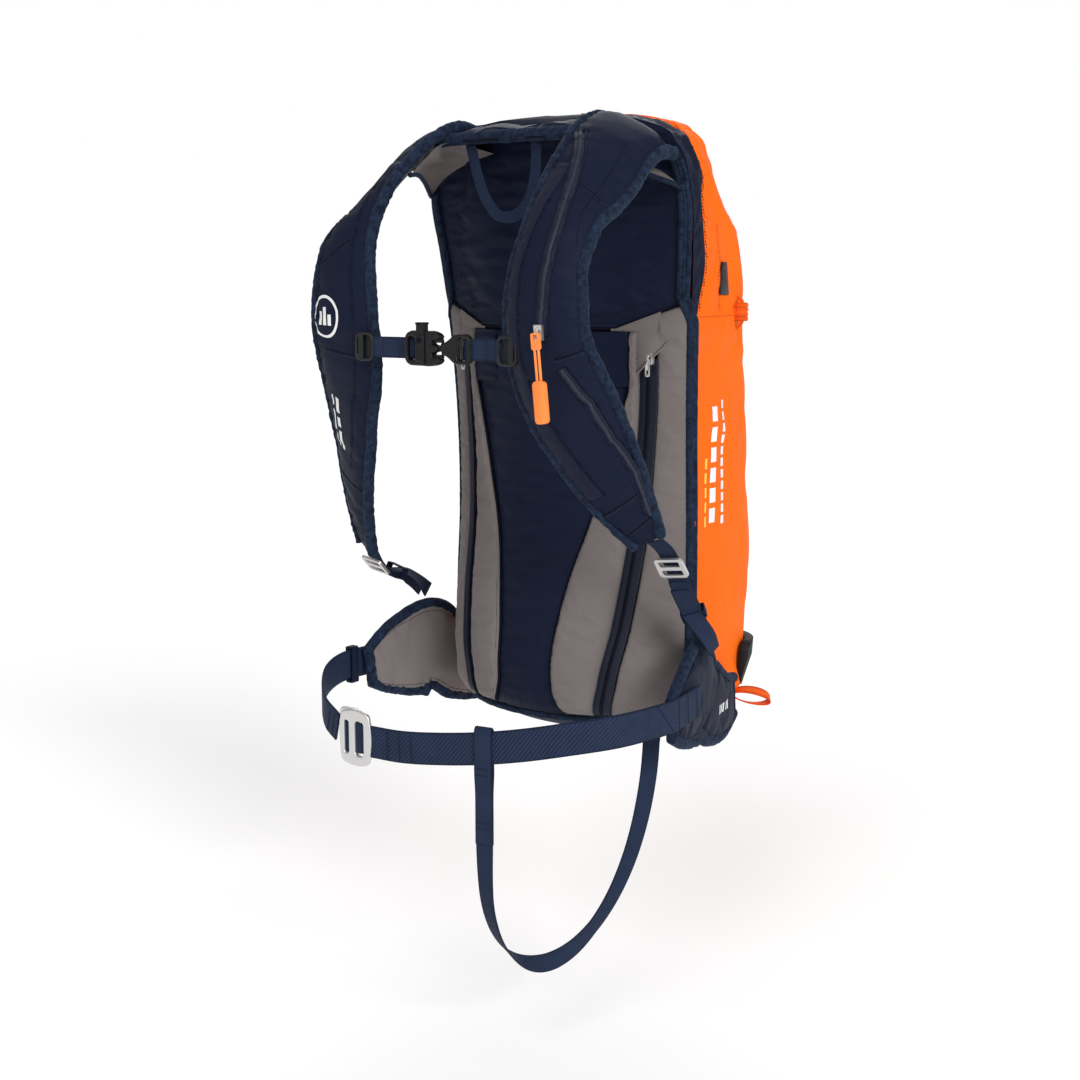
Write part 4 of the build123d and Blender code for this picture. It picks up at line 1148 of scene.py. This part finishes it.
def shoulder_right():
    """The plain strap with its printed marks."""
    tree = shoulder(FAR, "shoulder_strap_right", "right", True, 8.0,
                    ("shoulder_strap_right", "strap_facing_right"), (5.0, 6.0), 1.0)
    threads = []
    for keys in (FAR_SEAM, moved(FAR_SEAM, 0.06), [(226, 0.74), (150, 0.72), (60, 0.7), (0, 0.65)]):
        pts, nrm = FAR.line(keys, tree, True, 0.15)
        threads.append(stitches("s", pts, nrm, "thread", 3.1, 2.1, 0.36))
    threads += FAR.cross_seams(((176, -0.45, 0.95, -22), (76, -0.9, 0.9, 0), (-60, -0.8, 0.8, 6)),
                               tree, True)
    done(join(threads, "strap_stitching_right"), "pack", "strap_foam")
    circle = np.stack([np.cos(CIRCLE_ANGLE), np.sin(CIRCLE_ANGLE)], 1)
    rings = [circle * r for r in (20.5, 19.6, 18.6, 17.6)]
    marks = [FAR.print_rings("ring", 108, 0.42, rings, "white", tree, True)]
    for x, low, high in ((-8, -8, 2), (-1, -8, 9), (6, -8, 5)):
        marks.append(FAR.bar(108, 0.42, x, 2.4, low, high, 4, tree, True))
    for x, wide, spans in ((0, 2.8, ((-30, -8), (-3, 8), (13, 30))),
                           (9, 1.4, ((-30, -14), (-9, 14), (19, 30)))):
        marks += [FAR.bar(0, 0.15, x, wide, low, high, 5, tree, True) for low, high in spans]
    done(join(marks, "strap_marks"), "pack", "strap_foam")


def yoke():
    """The padded bridge between the straps, with its binding round the wearer's neck."""
    rows = ((10, 288, 84), (-10, 289, 86), (-30, 286, 88), (-46, 281, 90))
    run = [((0, y, z), (half, 0, 0)) for y, z, half in rows]
    pad = Padded(run, (8, 8, 8, 7), (5, 5, 5, 5), 50)
    body = pad.body("yoke_visual", ["navy", "grey"], 70, False, 2.5, 1.0, 1.4, 20, 4.0, grow=0.025)
    done(body, "pack", "bound_edge", "shoulder_yoke", padded=0.6)
    x = np.linspace(-94, 94, 140)
    line = np.stack([x, -46.5 - 5.0 * (np.abs(x) / 94) ** 6, 282.5 - 2.0 * (np.abs(x) / 94) ** 4], 1)
    binding = tube("neck_binding", line, (6.8, 5.0), "velour", 12, False, (0, -1.0, 0.25), 0.14, 5)
    done(binding, "pack", "bound_edge")
    tacks = []
    for ends in ((-74, -46), (-40, -16), (18, 38), (62, 76)):
        tack = [(x, -51.4, 279.4) for x in np.linspace(*ends, 12)]
        tacks.append(tube("t", tack, (1.1, 0.7), "thread", 6, False, TO_WEARER, 0.3, 2))
    done(join(tacks, "neck_bartacks"), "pack", "bound_edge")


def liners():
    """Stretch fabric under the roots of the shoulder straps."""
    pads, edges = [], []
    front = smooth_line([(72, -49, 279), (82, -58, 277), (87, -78, 262), (90, -98, 245)], 40)
    back = smooth_line([(62, 4, 270), (98, 5, 262), (132, 8, 248), (157, 15, 230)], 40)
    t = np.linspace(0, 1, 40)[None, :]
    v = np.linspace(0, 1, 26)[:, None]
    sag = np.sin(math.pi * v)
    for flip, seed in ((False, 2.0), (True, 7.0)):
        P = front[None] * (1 - v[..., None]) + back[None] * v[..., None]
        hold = sag * np.sin(math.pi * t)
        P[..., 2] += 5 * hold + ripple(P, 9.0, 18, (1, 1.8, 1), seed) * hold
        P[..., 2] += 9 * sag * t**3
        pads.append(grid("l", P, "grey", flip=flip))
        edges.append(tube("e", P[:, -1], (2.6, 2.2), "velour", 8, flip, (0, -1.0, -0.4), 0.1, 5))
    done(join(pads, "strap_liners"), "pack", "strap_foam")
    done(join(edges, "liner_binding"), "pack", "bound_edge")


FIN_PADDING = (5, 6, 6.5, 6.5, 6, 5)


def hip_fins():
    """The two fins of the hip belt: padding, binding, seams and printed marks."""
    for side, flip in SIDES:
        fin = Padded(FIN_RUN, FIN_PADDING, FIN_PADDING, 90)
        body = fin.body(f"hip_fin_{side}_visual", ["grey", "navy"], 56, flip, 3.0, 1.2, 1.2, 22, 3.0 + flip)
        done(body, "pack", "strap_foam", f"hip_fin_{side}", padded=0.6)
        tree = skin_of(body)
        tip = fin.S.at(np.full(24, fin.n - 2.0), np.linspace(-0.9, 0.9, 24), np.zeros(24))
        bind = [fin.edge_tube(1, (6.0, 5.6), flip, 4.0, 0.08, 7),
                fin.edge_tube(-1, (6.5, 5.4), flip, 5.0, 0.08, 4),
                tube("b", tip, (5.5, 6.6), "velour", 10, flip, fin.S.T[-2], 0.16, 5)]
        done(join(bind, f"hip_binding_{side}"), "pack", "bound_edge")
        threads, marks = [], []
        i = np.linspace(14, fin.n - 4, 90)
        for a in (0.78, -0.74):
            for face in (1, -1):
                share = np.full_like(i, a)
                pts = fin.S.at(i, share, fin.height(i, share) * face)
                pts, nrm = mirrored(flip, pts, fin.face(i, share)[1] * face)
                threads.append(stitches("s", lay(pts, nrm, tree, 0.2), nrm, "thread", 3.0, 2.0, 0.35))
        done(join(threads, f"hip_stitching_{side}"), "pack", "strap_foam")
        for y in (70, 76.5, 83, 92, 98.5):
            rows = []
            for z in np.linspace(-298, -288, 5):
                pts = np.array([(170.0, q, z) for q in np.linspace(y, y + 3.6, 4)])
                pts, nrm = mirrored(flip, pts, np.array([1.0, 0.3, 0]))
                rows.append(lay(pts, nrm, tree, 0.5))
            marks.append(grid("m", np.array(rows), "white"))
        done(join(marks, f"hip_marks_{side}"), "pack", "strap_foam")


shoulder_left()
shoulder_right()
yoke()
liners()
hip_fins()


# ---------------------------------------------------------------- webbing
BELT_LEFT = ((196.5, -8, -262), (198.5, -40, -265), (200, -64, -266), (197, -92, -266), (184, -130, -268),
             (150, -162, -274), (106, -177, -284), (66, -184, -292), (20, -190, -299),
             (-31, -195, -304), (-63.6, -197.5, -304))
BELT_RIGHT = ((-198.5, -38, -268), (-200, -62, -268), (-198, -92, -268), (-186, -128, -272),
              (-162, -161, -280), (-135, -184, -290), (-112, -193, -298))
CHEST_Y, CHEST_Z = -174, 80
# folded spare webbing on the lower straps: narrower by, lifted by, and the rows it covers
SPARE_FOLDS = ((0.6, 1.7, (20, 62)), (0.2, 3.5, (24, 60)), (0.5, 5.2, (26, 66)), (0.1, 6.9, (30, 57)),
               (0.4, 8.6, (44, 69)))
LOWER_LEFT = [((179, -66, -99), (9.5, 0, 2)), ((180.5, -53, -108), (9.5, 0, 2)),
              ((182, -38, -125), (9.5, 0, 2)), ((183, -22, -150), (9.5, 1, 2)),
              ((184, -2, -178), (8, 4, 3)), ((186, 12, -200), (4, 7.5, 4)), ((186.5, 22, -220), (0, 8, 5))]
LOWER_RIGHT = [((179, -66, -137), (9.5, 0, 2)), ((181, -59, -146), (9.5, 0, 2)),
               ((182, -50, -157), (9.5, 0, 2)), ((182, -38, -166), (9.5, 0, 2)),
               ((182, -20, -171), (9, 1, 2)), ((182, 0, -177), (7, 5, 4)),
               ((182.5, 20, -189), (4, 7.5, 4)), ((182.5, 34, -201), (0, 8, 5))]


def webbing_row(strip, where, sides, flip=False, along=0.0):
    """Stitches across both faces of a webbing at the given stations."""
    out = []
    a = np.linspace(-0.85, 0.85, 16)
    for i in where:
        for s in (1, -1):
            pts = strip.at(np.full(16, i) + a * along, a, np.full(16, s * sides))
            out.append(stitches("s", pts, strip.N[int(i)] * s, "thread", 2.6, 2.6 * 0.65, 0.4, flip))
    return out


def web_done(pieces, node, name=None, body="pack"):
    """A webbing in place of its CAD node."""
    done(join(pieces, name or f"{node}_visual"), body, "navy_webbing", node)


def belts():
    """Waist belt, lower straps, chest strap, leg loop and its anchor, and the haul loop."""
    left = Strip([(c, (0, 0, 16)) for c in BELT_LEFT], 170)
    right = Strip([(c, (0, 0, 16)) for c in BELT_RIGHT], 80)
    web_done([ribbon("w", left, 2.4, "web32")], "waist_webbing_left")
    web_done([ribbon("w", right, 2.4, "web32")], "waist_webbing_right")
    rows = webbing_row(left, (4, 12, 20, 160, 154, 148), 1.5) + webbing_row(left, (30, ), 1.5, along=6.0)
    rows += webbing_row(right, (3, 9, 72, 76), 1.5)
    done(join(rows, "belt_stitching"), "pack", "navy_webbing")
    for side, run, flip in (("left", LOWER_LEFT, False), ("right", LOWER_RIGHT, True)):
        s = Strip(run, 70)
        web = [ribbon("w", s, 1.6, "web20", flip)]
        web += [ribbon("w", s, 1.5, "web20", flip, *fold) for fold in SPARE_FOLDS]
        web_done(web + webbing_row(s, (64, 66), 1.0, flip), f"lower_webbing_{side}")
    for x0, x1, side, folds in ((37.0, 79.0, "left", ((2, 28), (4, 26))),
                                (-76.0, -22.0, "right", ((4, 22), (8, 20)))):
        run = [((x, CHEST_Y - 0.6 * math.sin((x - x0) / 8), CHEST_Z), (0, 0, 10))
               for x in np.linspace(x0, x1, 7)]
        s = Strip(run, 30)
        web = [ribbon("w", s, 1.5, "web20")]
        for k, rows in enumerate(folds):
            web.append(ribbon("w", s, 1.5, "web20", False, 0.3 + 0.3 * k, -1.7 * (k + 1), rows))
        web_done(web + webbing_row(s, (10, 20), 4.4), f"chest_webbing_{side}")
    out = np.array([LEG_ACROSS[1], -LEG_ACROSS[0], 0])
    front = [(1.3, -386), (1.3, -360), (1.5, -335), (3.0, -318), (3.0, -300), (3.0, -282), (2.2, -273.5)]
    path = front + [(0, -271.5)] + [(-o, z) for o, z in reversed(front)]
    s = Strip([((*LEG_START, 0) + out * o + (0, 0, z), LEG_ACROSS * 9) for o, z in path], 150)
    web_done([ribbon("w", s, 1.3, "web20")] + webbing_row(s, (14, 10, 44, 48), 0.9), "leg_strap_loop",
             "leg_loop_visual")
    tab = ((-318, (10, 2, 0)), (-326, (10, 2, 0)), (-334, (9.5, 1.5, 0)))
    anchor = Strip([((*LEG_END, z), w) for z, w in tab], 12)
    web_done([ribbon("w", anchor, 3.4, "web20")], "leg_strap_anchor", "leg_anchor_visual")
    haul = [((-59, -40, 276), (6, 0, 1)), ((-56, -32, 245), (6, 0, 1)), ((-50, -26, 222), (5.5, 0, 3)),
            ((-36, -24, 207), (3, 0, 5)), ((-18, -24, 206), (-2, 0, 6)), ((0, -26, 217), (-5, 0, 4)),
            ((14, -32, 240), (-6, 0, 2)), ((22, -40, 276), (-6, 0, 1))]
    web_done([ribbon("w", Strip(haul, 80), 1.5, "web20")], "haul_loop", body="haul_loop_body")


belts()


# ---------------------------------------------------------------- loops, pocket and trim on the bag
def side_loops():
    """Webbing loops on the bag's sides, each wrapped by a ribbed band."""
    loops = []
    arch = [(137, 158, 126), (142, 158, 122), (143.5, 158, 110), (142, 158, 98), (137, 158, 93)]
    band = [(137, 149, 110), (143.5, 151, 110), (146, 158, 110), (143.5, 166, 110), (135, 169, 110)]
    rib = [(137.5, 148), (144.4, 150.4), (147.2, 158), (144.4, 166.6), (136, 170)]
    for flip in (False, True):
        for run, width in ((arch, (0, 1.6, 0)), (band, (0, 0, 9.5))):
            loops.append(ribbon("l", Strip([(c, width) for c in run], 30), 1.8, "orange_web", flip))
        for z in (103, 107.5, 112.5, 117):
            loops.append(tube("l", smooth_line([(*c, z) for c in rib], 24), 0.8, "orange_web", 6, flip))
    done(join(loops, "side_loops_visual"), "pack", "orange_webbing", "side_loops")


def ski_loops():
    """Orange loops at the lower corners."""
    loops = []
    turn = Matrix.Rotation(math.radians(14), 4, "Y") @ Matrix.Rotation(math.radians(38), 4, "Z")
    place = Matrix.Translation((143, 199, -310)) @ turn
    run = []
    for t in 2 * math.pi * np.arange(33) / 32:
        c = place @ Vector((-3 + 21 * math.cos(t), 0, 7.5 * math.sin(t)))
        w = turn.to_3x3() @ Vector((0, 6.5, 2.2 * math.sin(t + 0.5)))
        run.append((tuple(c), tuple(w)))
    for flip in (False, True):
        loops.append(ribbon("l", Strip(run, 90), 1.6, "orange_web", flip))
    done(join(loops, "ski_loops_visual"), "pack", "orange_webbing", "ski_loops")


def front_pocket():
    """Flat pocket on the front of the bag, with a zip across it."""
    X, Z = np.meshgrid(np.linspace(-80, 80, 50), np.linspace(-200, 120, 70))
    rise = pillow((X + 80) / 160, 6) * pillow((Z + 200) / 320, 8)
    P = np.stack([X, bag_row(Z)[3] + 5 * np.clip(1 - (X / 85) ** 2, 0, 1) - 1.5 + 7.5 * rise, Z], 2)
    P[..., 1] += ripple(P, 1.5, 24, (1, 1, 1), 6) * rise
    pocket = puff(grid("front_pocket_visual", P, "orange"), np.clip(rise * 1.3 - 0.2, 0, 1), 1.0, 0.03, 4.0)
    done(pocket, "pack", "shell_fabric", "front_pocket", padded=0.6)
    forward = (0, 1.0, 0)
    pts = lay([(x, 235.0, 96.0) for x in np.linspace(-72, 72, 60)], forward, skin_of(pocket), 0.5)
    zips = [ribbon("z", Strip([(p, (0, 0, 6)) for p in pts], 60), 1.0, "zip"),
            tube("z", pts + [0, 0.8, 0], (1.6, 1.1), "thread", 8, False, forward, 0.3, 1.6)]
    done(join(zips, "front_pocket_zip"), "pack", "zip_tape")


def on_side(y, z, lift):
    """Points laid on the finished fabric of the bag's left side."""
    return lay(side_points(y, z), OUTWARD, BAG_SKIN, lift)


def label_tab():
    """Dark label sewn on the side, with one red dash."""
    middle = np.array([119, 144.5])
    corners = np.array([(108, 128), (130, 128), (130, 161), (108, 161.0)]) - middle
    tab = [on_side(*(middle + corners * k).T, lift) for lift, k in ((0.2, 1.0), (1.6, 1.0), (2.0, 0.94))]
    piece = grid("tab", np.array(tab), "black", wrap=True, caps=True)
    dash = grid("dash", np.array([on_side(np.array([112, 116.0]), z, 2.3) for z in (144, 156.0)]), "red")
    done(join([piece, dash], "label_tab_visual"), "pack", "navy_webbing", "label_tab")


def burst_seam():
    """The seam over the top that the airbag opens."""
    angle = np.radians(np.linspace(-8, 188, 50))
    way = np.stack([np.cos(angle), np.zeros(50), np.sin(angle)], 1)
    over = lay(np.array([0, 70, 225.0]) + way * 130, way, BAG_SKIN, 0.6, 80)
    seam = ribbon("burst_seam", Strip([(c, (0, 4, 0)) for c in over], 160), 1.6, "orange")
    done(seam, "pack", "zip_tape", "burst_zip")


def side_marks():
    """Three columns of printed dashes on the side."""
    marks = []
    columns = ((88, 2.2, 15, -108, -36, "yellow"), (103, 6.0, 21, -105, 26, "white"),
               (124, 3.2, 12, -108, 24, "white"))
    for y, wide, step, low, high, mat in columns:
        for z in np.arange(low, high - step * 0.6, step):
            rows = [on_side(np.linspace(y - wide, y + wide, 5), v, 0.4)
                    for v in np.linspace(z, z + step * 0.72, 6)]
            marks.append(grid("m", np.array(rows), mat))
    done(join(marks, "side_marks"), "pack", "shell_fabric")


side_loops()
ski_loops()
front_pocket()
label_tab()
burst_seam()
side_marks()


# ---------------------------------------------------------------- hardware and inner parts
def mirrored_outline(half, extra=()):
    """An outline from its lower half, mirrored about the middle line."""
    return half + [(x, -z) for x, z in half[-2::-1]] + list(extra)


def chest_plate(outlines, y, thick, mat, bevel):
    return plate(outlines, thick, mat, bevel, (0, y, CHEST_Z))


def sternum_hooks():
    """The two moulded loops at the ends of the chest strap."""
    for side, x, way in (("left", 87.5, 1), ("right", -84.5, -1)):
        outlines = [round_rect(x, 0, 23, 28, 7), round_rect(x, 0, 17.5, 21.5, 4.5)]
        ring = chest_plate(outlines, CHEST_Y, 5.0, "dark", 1.5)
        bar = chest_plate([round_rect(x + 4.5 * way, 0, 6.0, 24, 2.4)], CHEST_Y - 0.6, 3.4, "dark", 1.2)
        foot = chest_plate([round_rect(x + 2.0 * way, 0, 16, 23, 5)], CHEST_Y + 2.2, 1.6, "black", 0.5)
        done(join([ring, bar, foot], f"sternum_hook_{side}_visual"), "pack", "grey_plastic",
             f"sternum_hook_{side}")


def chest_buckle():
    """Whistle buckle of the chest strap: the socket with its whistle, and the part that plugs in."""
    lower = [(-24, -16), (-12, -16.2), (4, -15.6), (9, -13.5), (11, -11), (9.5, -8.5), (3, -7.5), (1.5, -5),
             (7, -2.5), (9.5, 0)]
    socket = mirrored_outline(lower, [(-28.5, 13.5), (-30.8, 9), (-31, 0), (-30.8, -9), (-28.5, -13.5)])
    socket = closed_outline(socket, 119)
    body = [chest_plate([socket, round_rect(-22.6, 0, 9.5, 21.5, 3)], CHEST_Y, 10.5, "black", 1.8)]
    # rectangle, depth, thickness, material and edge radius of what stands on the socket
    for rect, y, thick, mat, bevel in (((-11.5, 0, 11, 26, 3), -178.4, 4.4, "black", 1.5),
                                       ((-11.5, 7.5, 5.5, 5.5, 2.0), -180.2, 1.6, "thread", 0.4),
                                       ((-5.2, 0, 1.1, 29, 0.5), -179.4, 0.8, "thread", 0.2),
                                       ((-12, 18.5, 9.0, 11, 1.8), -175, 8.4, "black", 1.0),
                                       ((-12, 23.2, 9.8, 2.2, 0.9), -175, 9.2, "black", 0.5),
                                       ((-12, 22.8, 5, 1.4, 0.5), -179.3, 1.0, "thread", 0.2)):
        body.append(chest_plate([round_rect(*rect)], y, thick, mat, bevel))
    for z in CHEST_Z - 1.5 - 3.2 * np.arange(3):
        rib = [(-15, -180.5, z), (-11.5, -180.8, z - 2.2), (-8, -180.5, z)]
        body.append(tube("b", smooth_line(rib, 12), 0.5, "black", 6))
    done(join(body, "buckle_female_visual"), "pack", "black_plastic", "buckle_female")
    neck = [(12.5, -5.5), (17, -6.5), (22, -9.5), (27, -13), (34, -14), (42, -13.4), (46, -10), (46.3, 0)]
    neck = closed_outline(mirrored_outline(neck), 99)
    bar = smooth_line([(36, -174, 70), (36.6, -176, 80), (36, -174, 90)], 20)
    male = [chest_plate([neck, round_rect(36.5, 0, 11.5, 21.5, 3.5)], CHEST_Y, 7.0, "black", 1.8),
            chest_plate([round_rect(3.5, 0, 20, 5, 2)], CHEST_Y, 4.6, "black", 0.8),
            tube("m", bar, 1.9, "black", 10)]
    done(join(male, "buckle_male_visual"), "pack", "black_plastic", "buckle_male")


RING_CENTRE = np.array([-84, -198, -303])


def waist_ring():
    """Ring of the waist buckle, with the belt threaded through its two slots."""
    upper = [(-16.5, -24.5), (-8, -27.6), (9, -27.9), (17.5, -24.5), (20, -16)]
    edge = [(-19, -17)] + upper + [(x, -z) for x, z in reversed(upper)] + [(-19, 17)]
    holes = [round_rect(6.0, -0.5, 11.5, 35, 4), round_rect(-10.5, 0, 6, 33, 2.6)]
    ring = plate([closed_outline(edge, 89)] + holes, 4.4, "metal", 1.5, RING_CENTRE)
    done(join([ring], "waist_buckle_ring_visual"), "waist_buckle_ring_body", "silver_metal",
         "waist_buckle_ring")
    threaded = Strip([(RING_CENTRE + (x, 1.1, 0), (0, 0, 15.5)) for x in (-14, 0, 13)], 20)
    done(ribbon("threaded_webbing", threaded, 1.4, "web32"), "waist_buckle_ring_body", "navy_webbing")


def strap_tab():
    """Small tab on the edge of the right-hand strap."""
    i = int(FAR.index(248))
    edge = FAR.S.at(np.array([i]), np.array([0.96]), np.array([0.0]))[0]
    out = FAR.S.W[i]
    tab = ribbon("strap_tab_visual", Strip([(edge + out * d, FAR.S.T[i] * 4.5) for d in (0, 4, 9)], 12),
                 2.2, "black", True)
    done(tab, "pack", "black_plastic", "strap_tab")


def cable_housing():
    """Sleeve from the release handle through the strap to the inflator."""
    path = [LEFT.S.at(np.array([i]), np.array([-0.28]), np.array([7.0]))[0]
            for i in (50, 42, 34, 26, 18, 10, 4)]
    path += [(116, 8, 288), (114, 30, 282), (112, 50, 268), (104, 76, 245), (94, 104, 233), (90, 128, 224),
             (90, 130, 206)]
    sleeve = tube("cable_housing_visual", smooth_line(path, 90), 2.4, "black", 10)
    done(sleeve, "pack", "black_plastic", "cable_housing")


def boxy(value):
    """Squares off a sine or cosine, so that a round section becomes a soft box."""
    return math.copysign(abs(value) ** 0.45, value)


def airbag():
    """The airbag, folded into a soft box."""
    rows = []
    centre = np.array([-27, 86, 228.0])
    for a in np.linspace(0, math.pi, 34):
        full = boxy(math.sin(a))
        angles = np.linspace(0, 2 * math.pi, 60, endpoint=False)
        rows.append([centre + (80 * boxy(math.cos(a)), 42 * boxy(math.cos(b)) * full,
                               25 * boxy(math.sin(b)) * full) for b in angles])
    P = np.array(rows)
    folds = np.sin(P[..., 2] / 3.2 + 0.6 * np.sin(P[..., 0] / 17)) * 1.4
    P = P + unit(P - centre) * folds[..., None]
    done(grid("airbag_folded", P, "orange", wrap=True), "pack", "airbag_fabric", "airbag", padded=0.3)


def clones(rows):
    """CAD nodes that keep their shape: node, material, body, slot, edge radius and its segments."""
    for row in rows:
        clone(*row)


def hardware():
    """Buckles, sliders, handles and the parts inside the bag."""
    for side in ("left", "right"):
        clones(((f"ladder_lock_{side}", "metal", f"ladder_lock_{side}_body", "silver_metal", 0.7, 3),
                (f"back_zip_slider_{side}", "metal", f"back_zip_slider_{side}_body", "silver_metal", 0.4)))
    clone("waist_buckle_frame", "metal", "pack", "silver_metal", 1.3, 4)
    waist_ring()
    sternum_hooks()
    chest_buckle()
    clones((("buckle_prong_upper", "black", "buckle_prong_upper_body", "black_plastic", 0.5),
            ("buckle_prong_lower", "black", "buckle_prong_lower_body", "black_plastic", 0.5),
            ("strap_zip_slider", "metal", "strap_zip_slider_body", "silver_metal", 0.6, 3),
            ("strap_zip_puller", "clip", "strap_zip_puller_body", "orange_plastic", 0.9, 3)))
    strap_tab()
    clones((("waist_keeper", "navy", "pack", "navy_webbing", 0.6),
            ("web_keepers", "navy", "pack", "navy_webbing", 0.6),
            ("corner_pads", "rubber", "pack", "scuff_rubber", 0),
            ("release_handle", "clip", "release_handle_body", "orange_plastic", 1.0, 3),
            ("inflator_housing", "metal", "pack", "silver_metal", 1.2, 3),
            ("inlet_grille", "black", "pack", "black_plastic", 0.5),
            ("gas_cartridge", "steel", "gas_cartridge_body", "cylinder_metal", 0),
            ("cartridge_strap", "navy", "pack", "navy_webbing", 0.8),
            ("valve_plunger", "metal", "valve_plunger_body", "silver_metal", 0.5),
            ("frame_sheet", "dark", "back_flap", "grey_plastic", 0),
            ("frame_stays", "metal", "back_flap", "silver_metal", 0.5)))
    cable_housing()
    airbag()


hardware()


# ---------------------------------------------------------------- stage
def studio():
    """White surroundings that the camera sees brighter than they light."""
    world = bpy.data.worlds.new("studio")
    bpy.context.scene.world = world
    bpy.context.scene.view_settings.view_transform = "Standard"
    world.use_nodes = True
    nodes, links = world.node_tree.nodes, world.node_tree.links
    sky, path, lift = nodes["Background"], nodes.new("ShaderNodeLightPath"), nodes.new("ShaderNodeMath")
    lift.operation = "MULTIPLY_ADD"
    lift.inputs[1].default_value = 0.6
    lift.inputs[2].default_value = 0.4
    links.new(path.outputs["Is Camera Ray"], lift.inputs[0])
    links.new(lift.outputs[0], sky.inputs[1])
    sky.inputs[0].default_value = (1, 1, 1, 1)


def light(name, way, power, spread):
    """Broad studio light from a direction."""
    data = bpy.data.lights.new(name, "SUN")
    data.angle = math.radians(spread)
    data.energy = power
    linked(bpy.data.objects.new(name, data)).rotation_euler = Vector(way).to_track_quat("Z", "Y").to_euler()


def paper_floor():
    bpy.ops.mesh.primitive_plane_add(size=60, location=(0, 0, -0.62))
    floor = bpy.context.object
    floor.name = "floor"
    paper = Nodes("paper").finish((0.93, 0.93, 0.93), 0.9, Emission_Color=(1.0, 1.0, 1.0),
                                  Emission_Strength=0.14)
    floor.data.materials.append(paper)


studio()
light("key", (0.2, -1.0, 1.0), 0.85, 30)
light("side", (1.0, -0.42, 0.5), 1.85, 24)
light("back", (-0.6, 1.0, 0.8), 0.8, 40)
paper_floor()
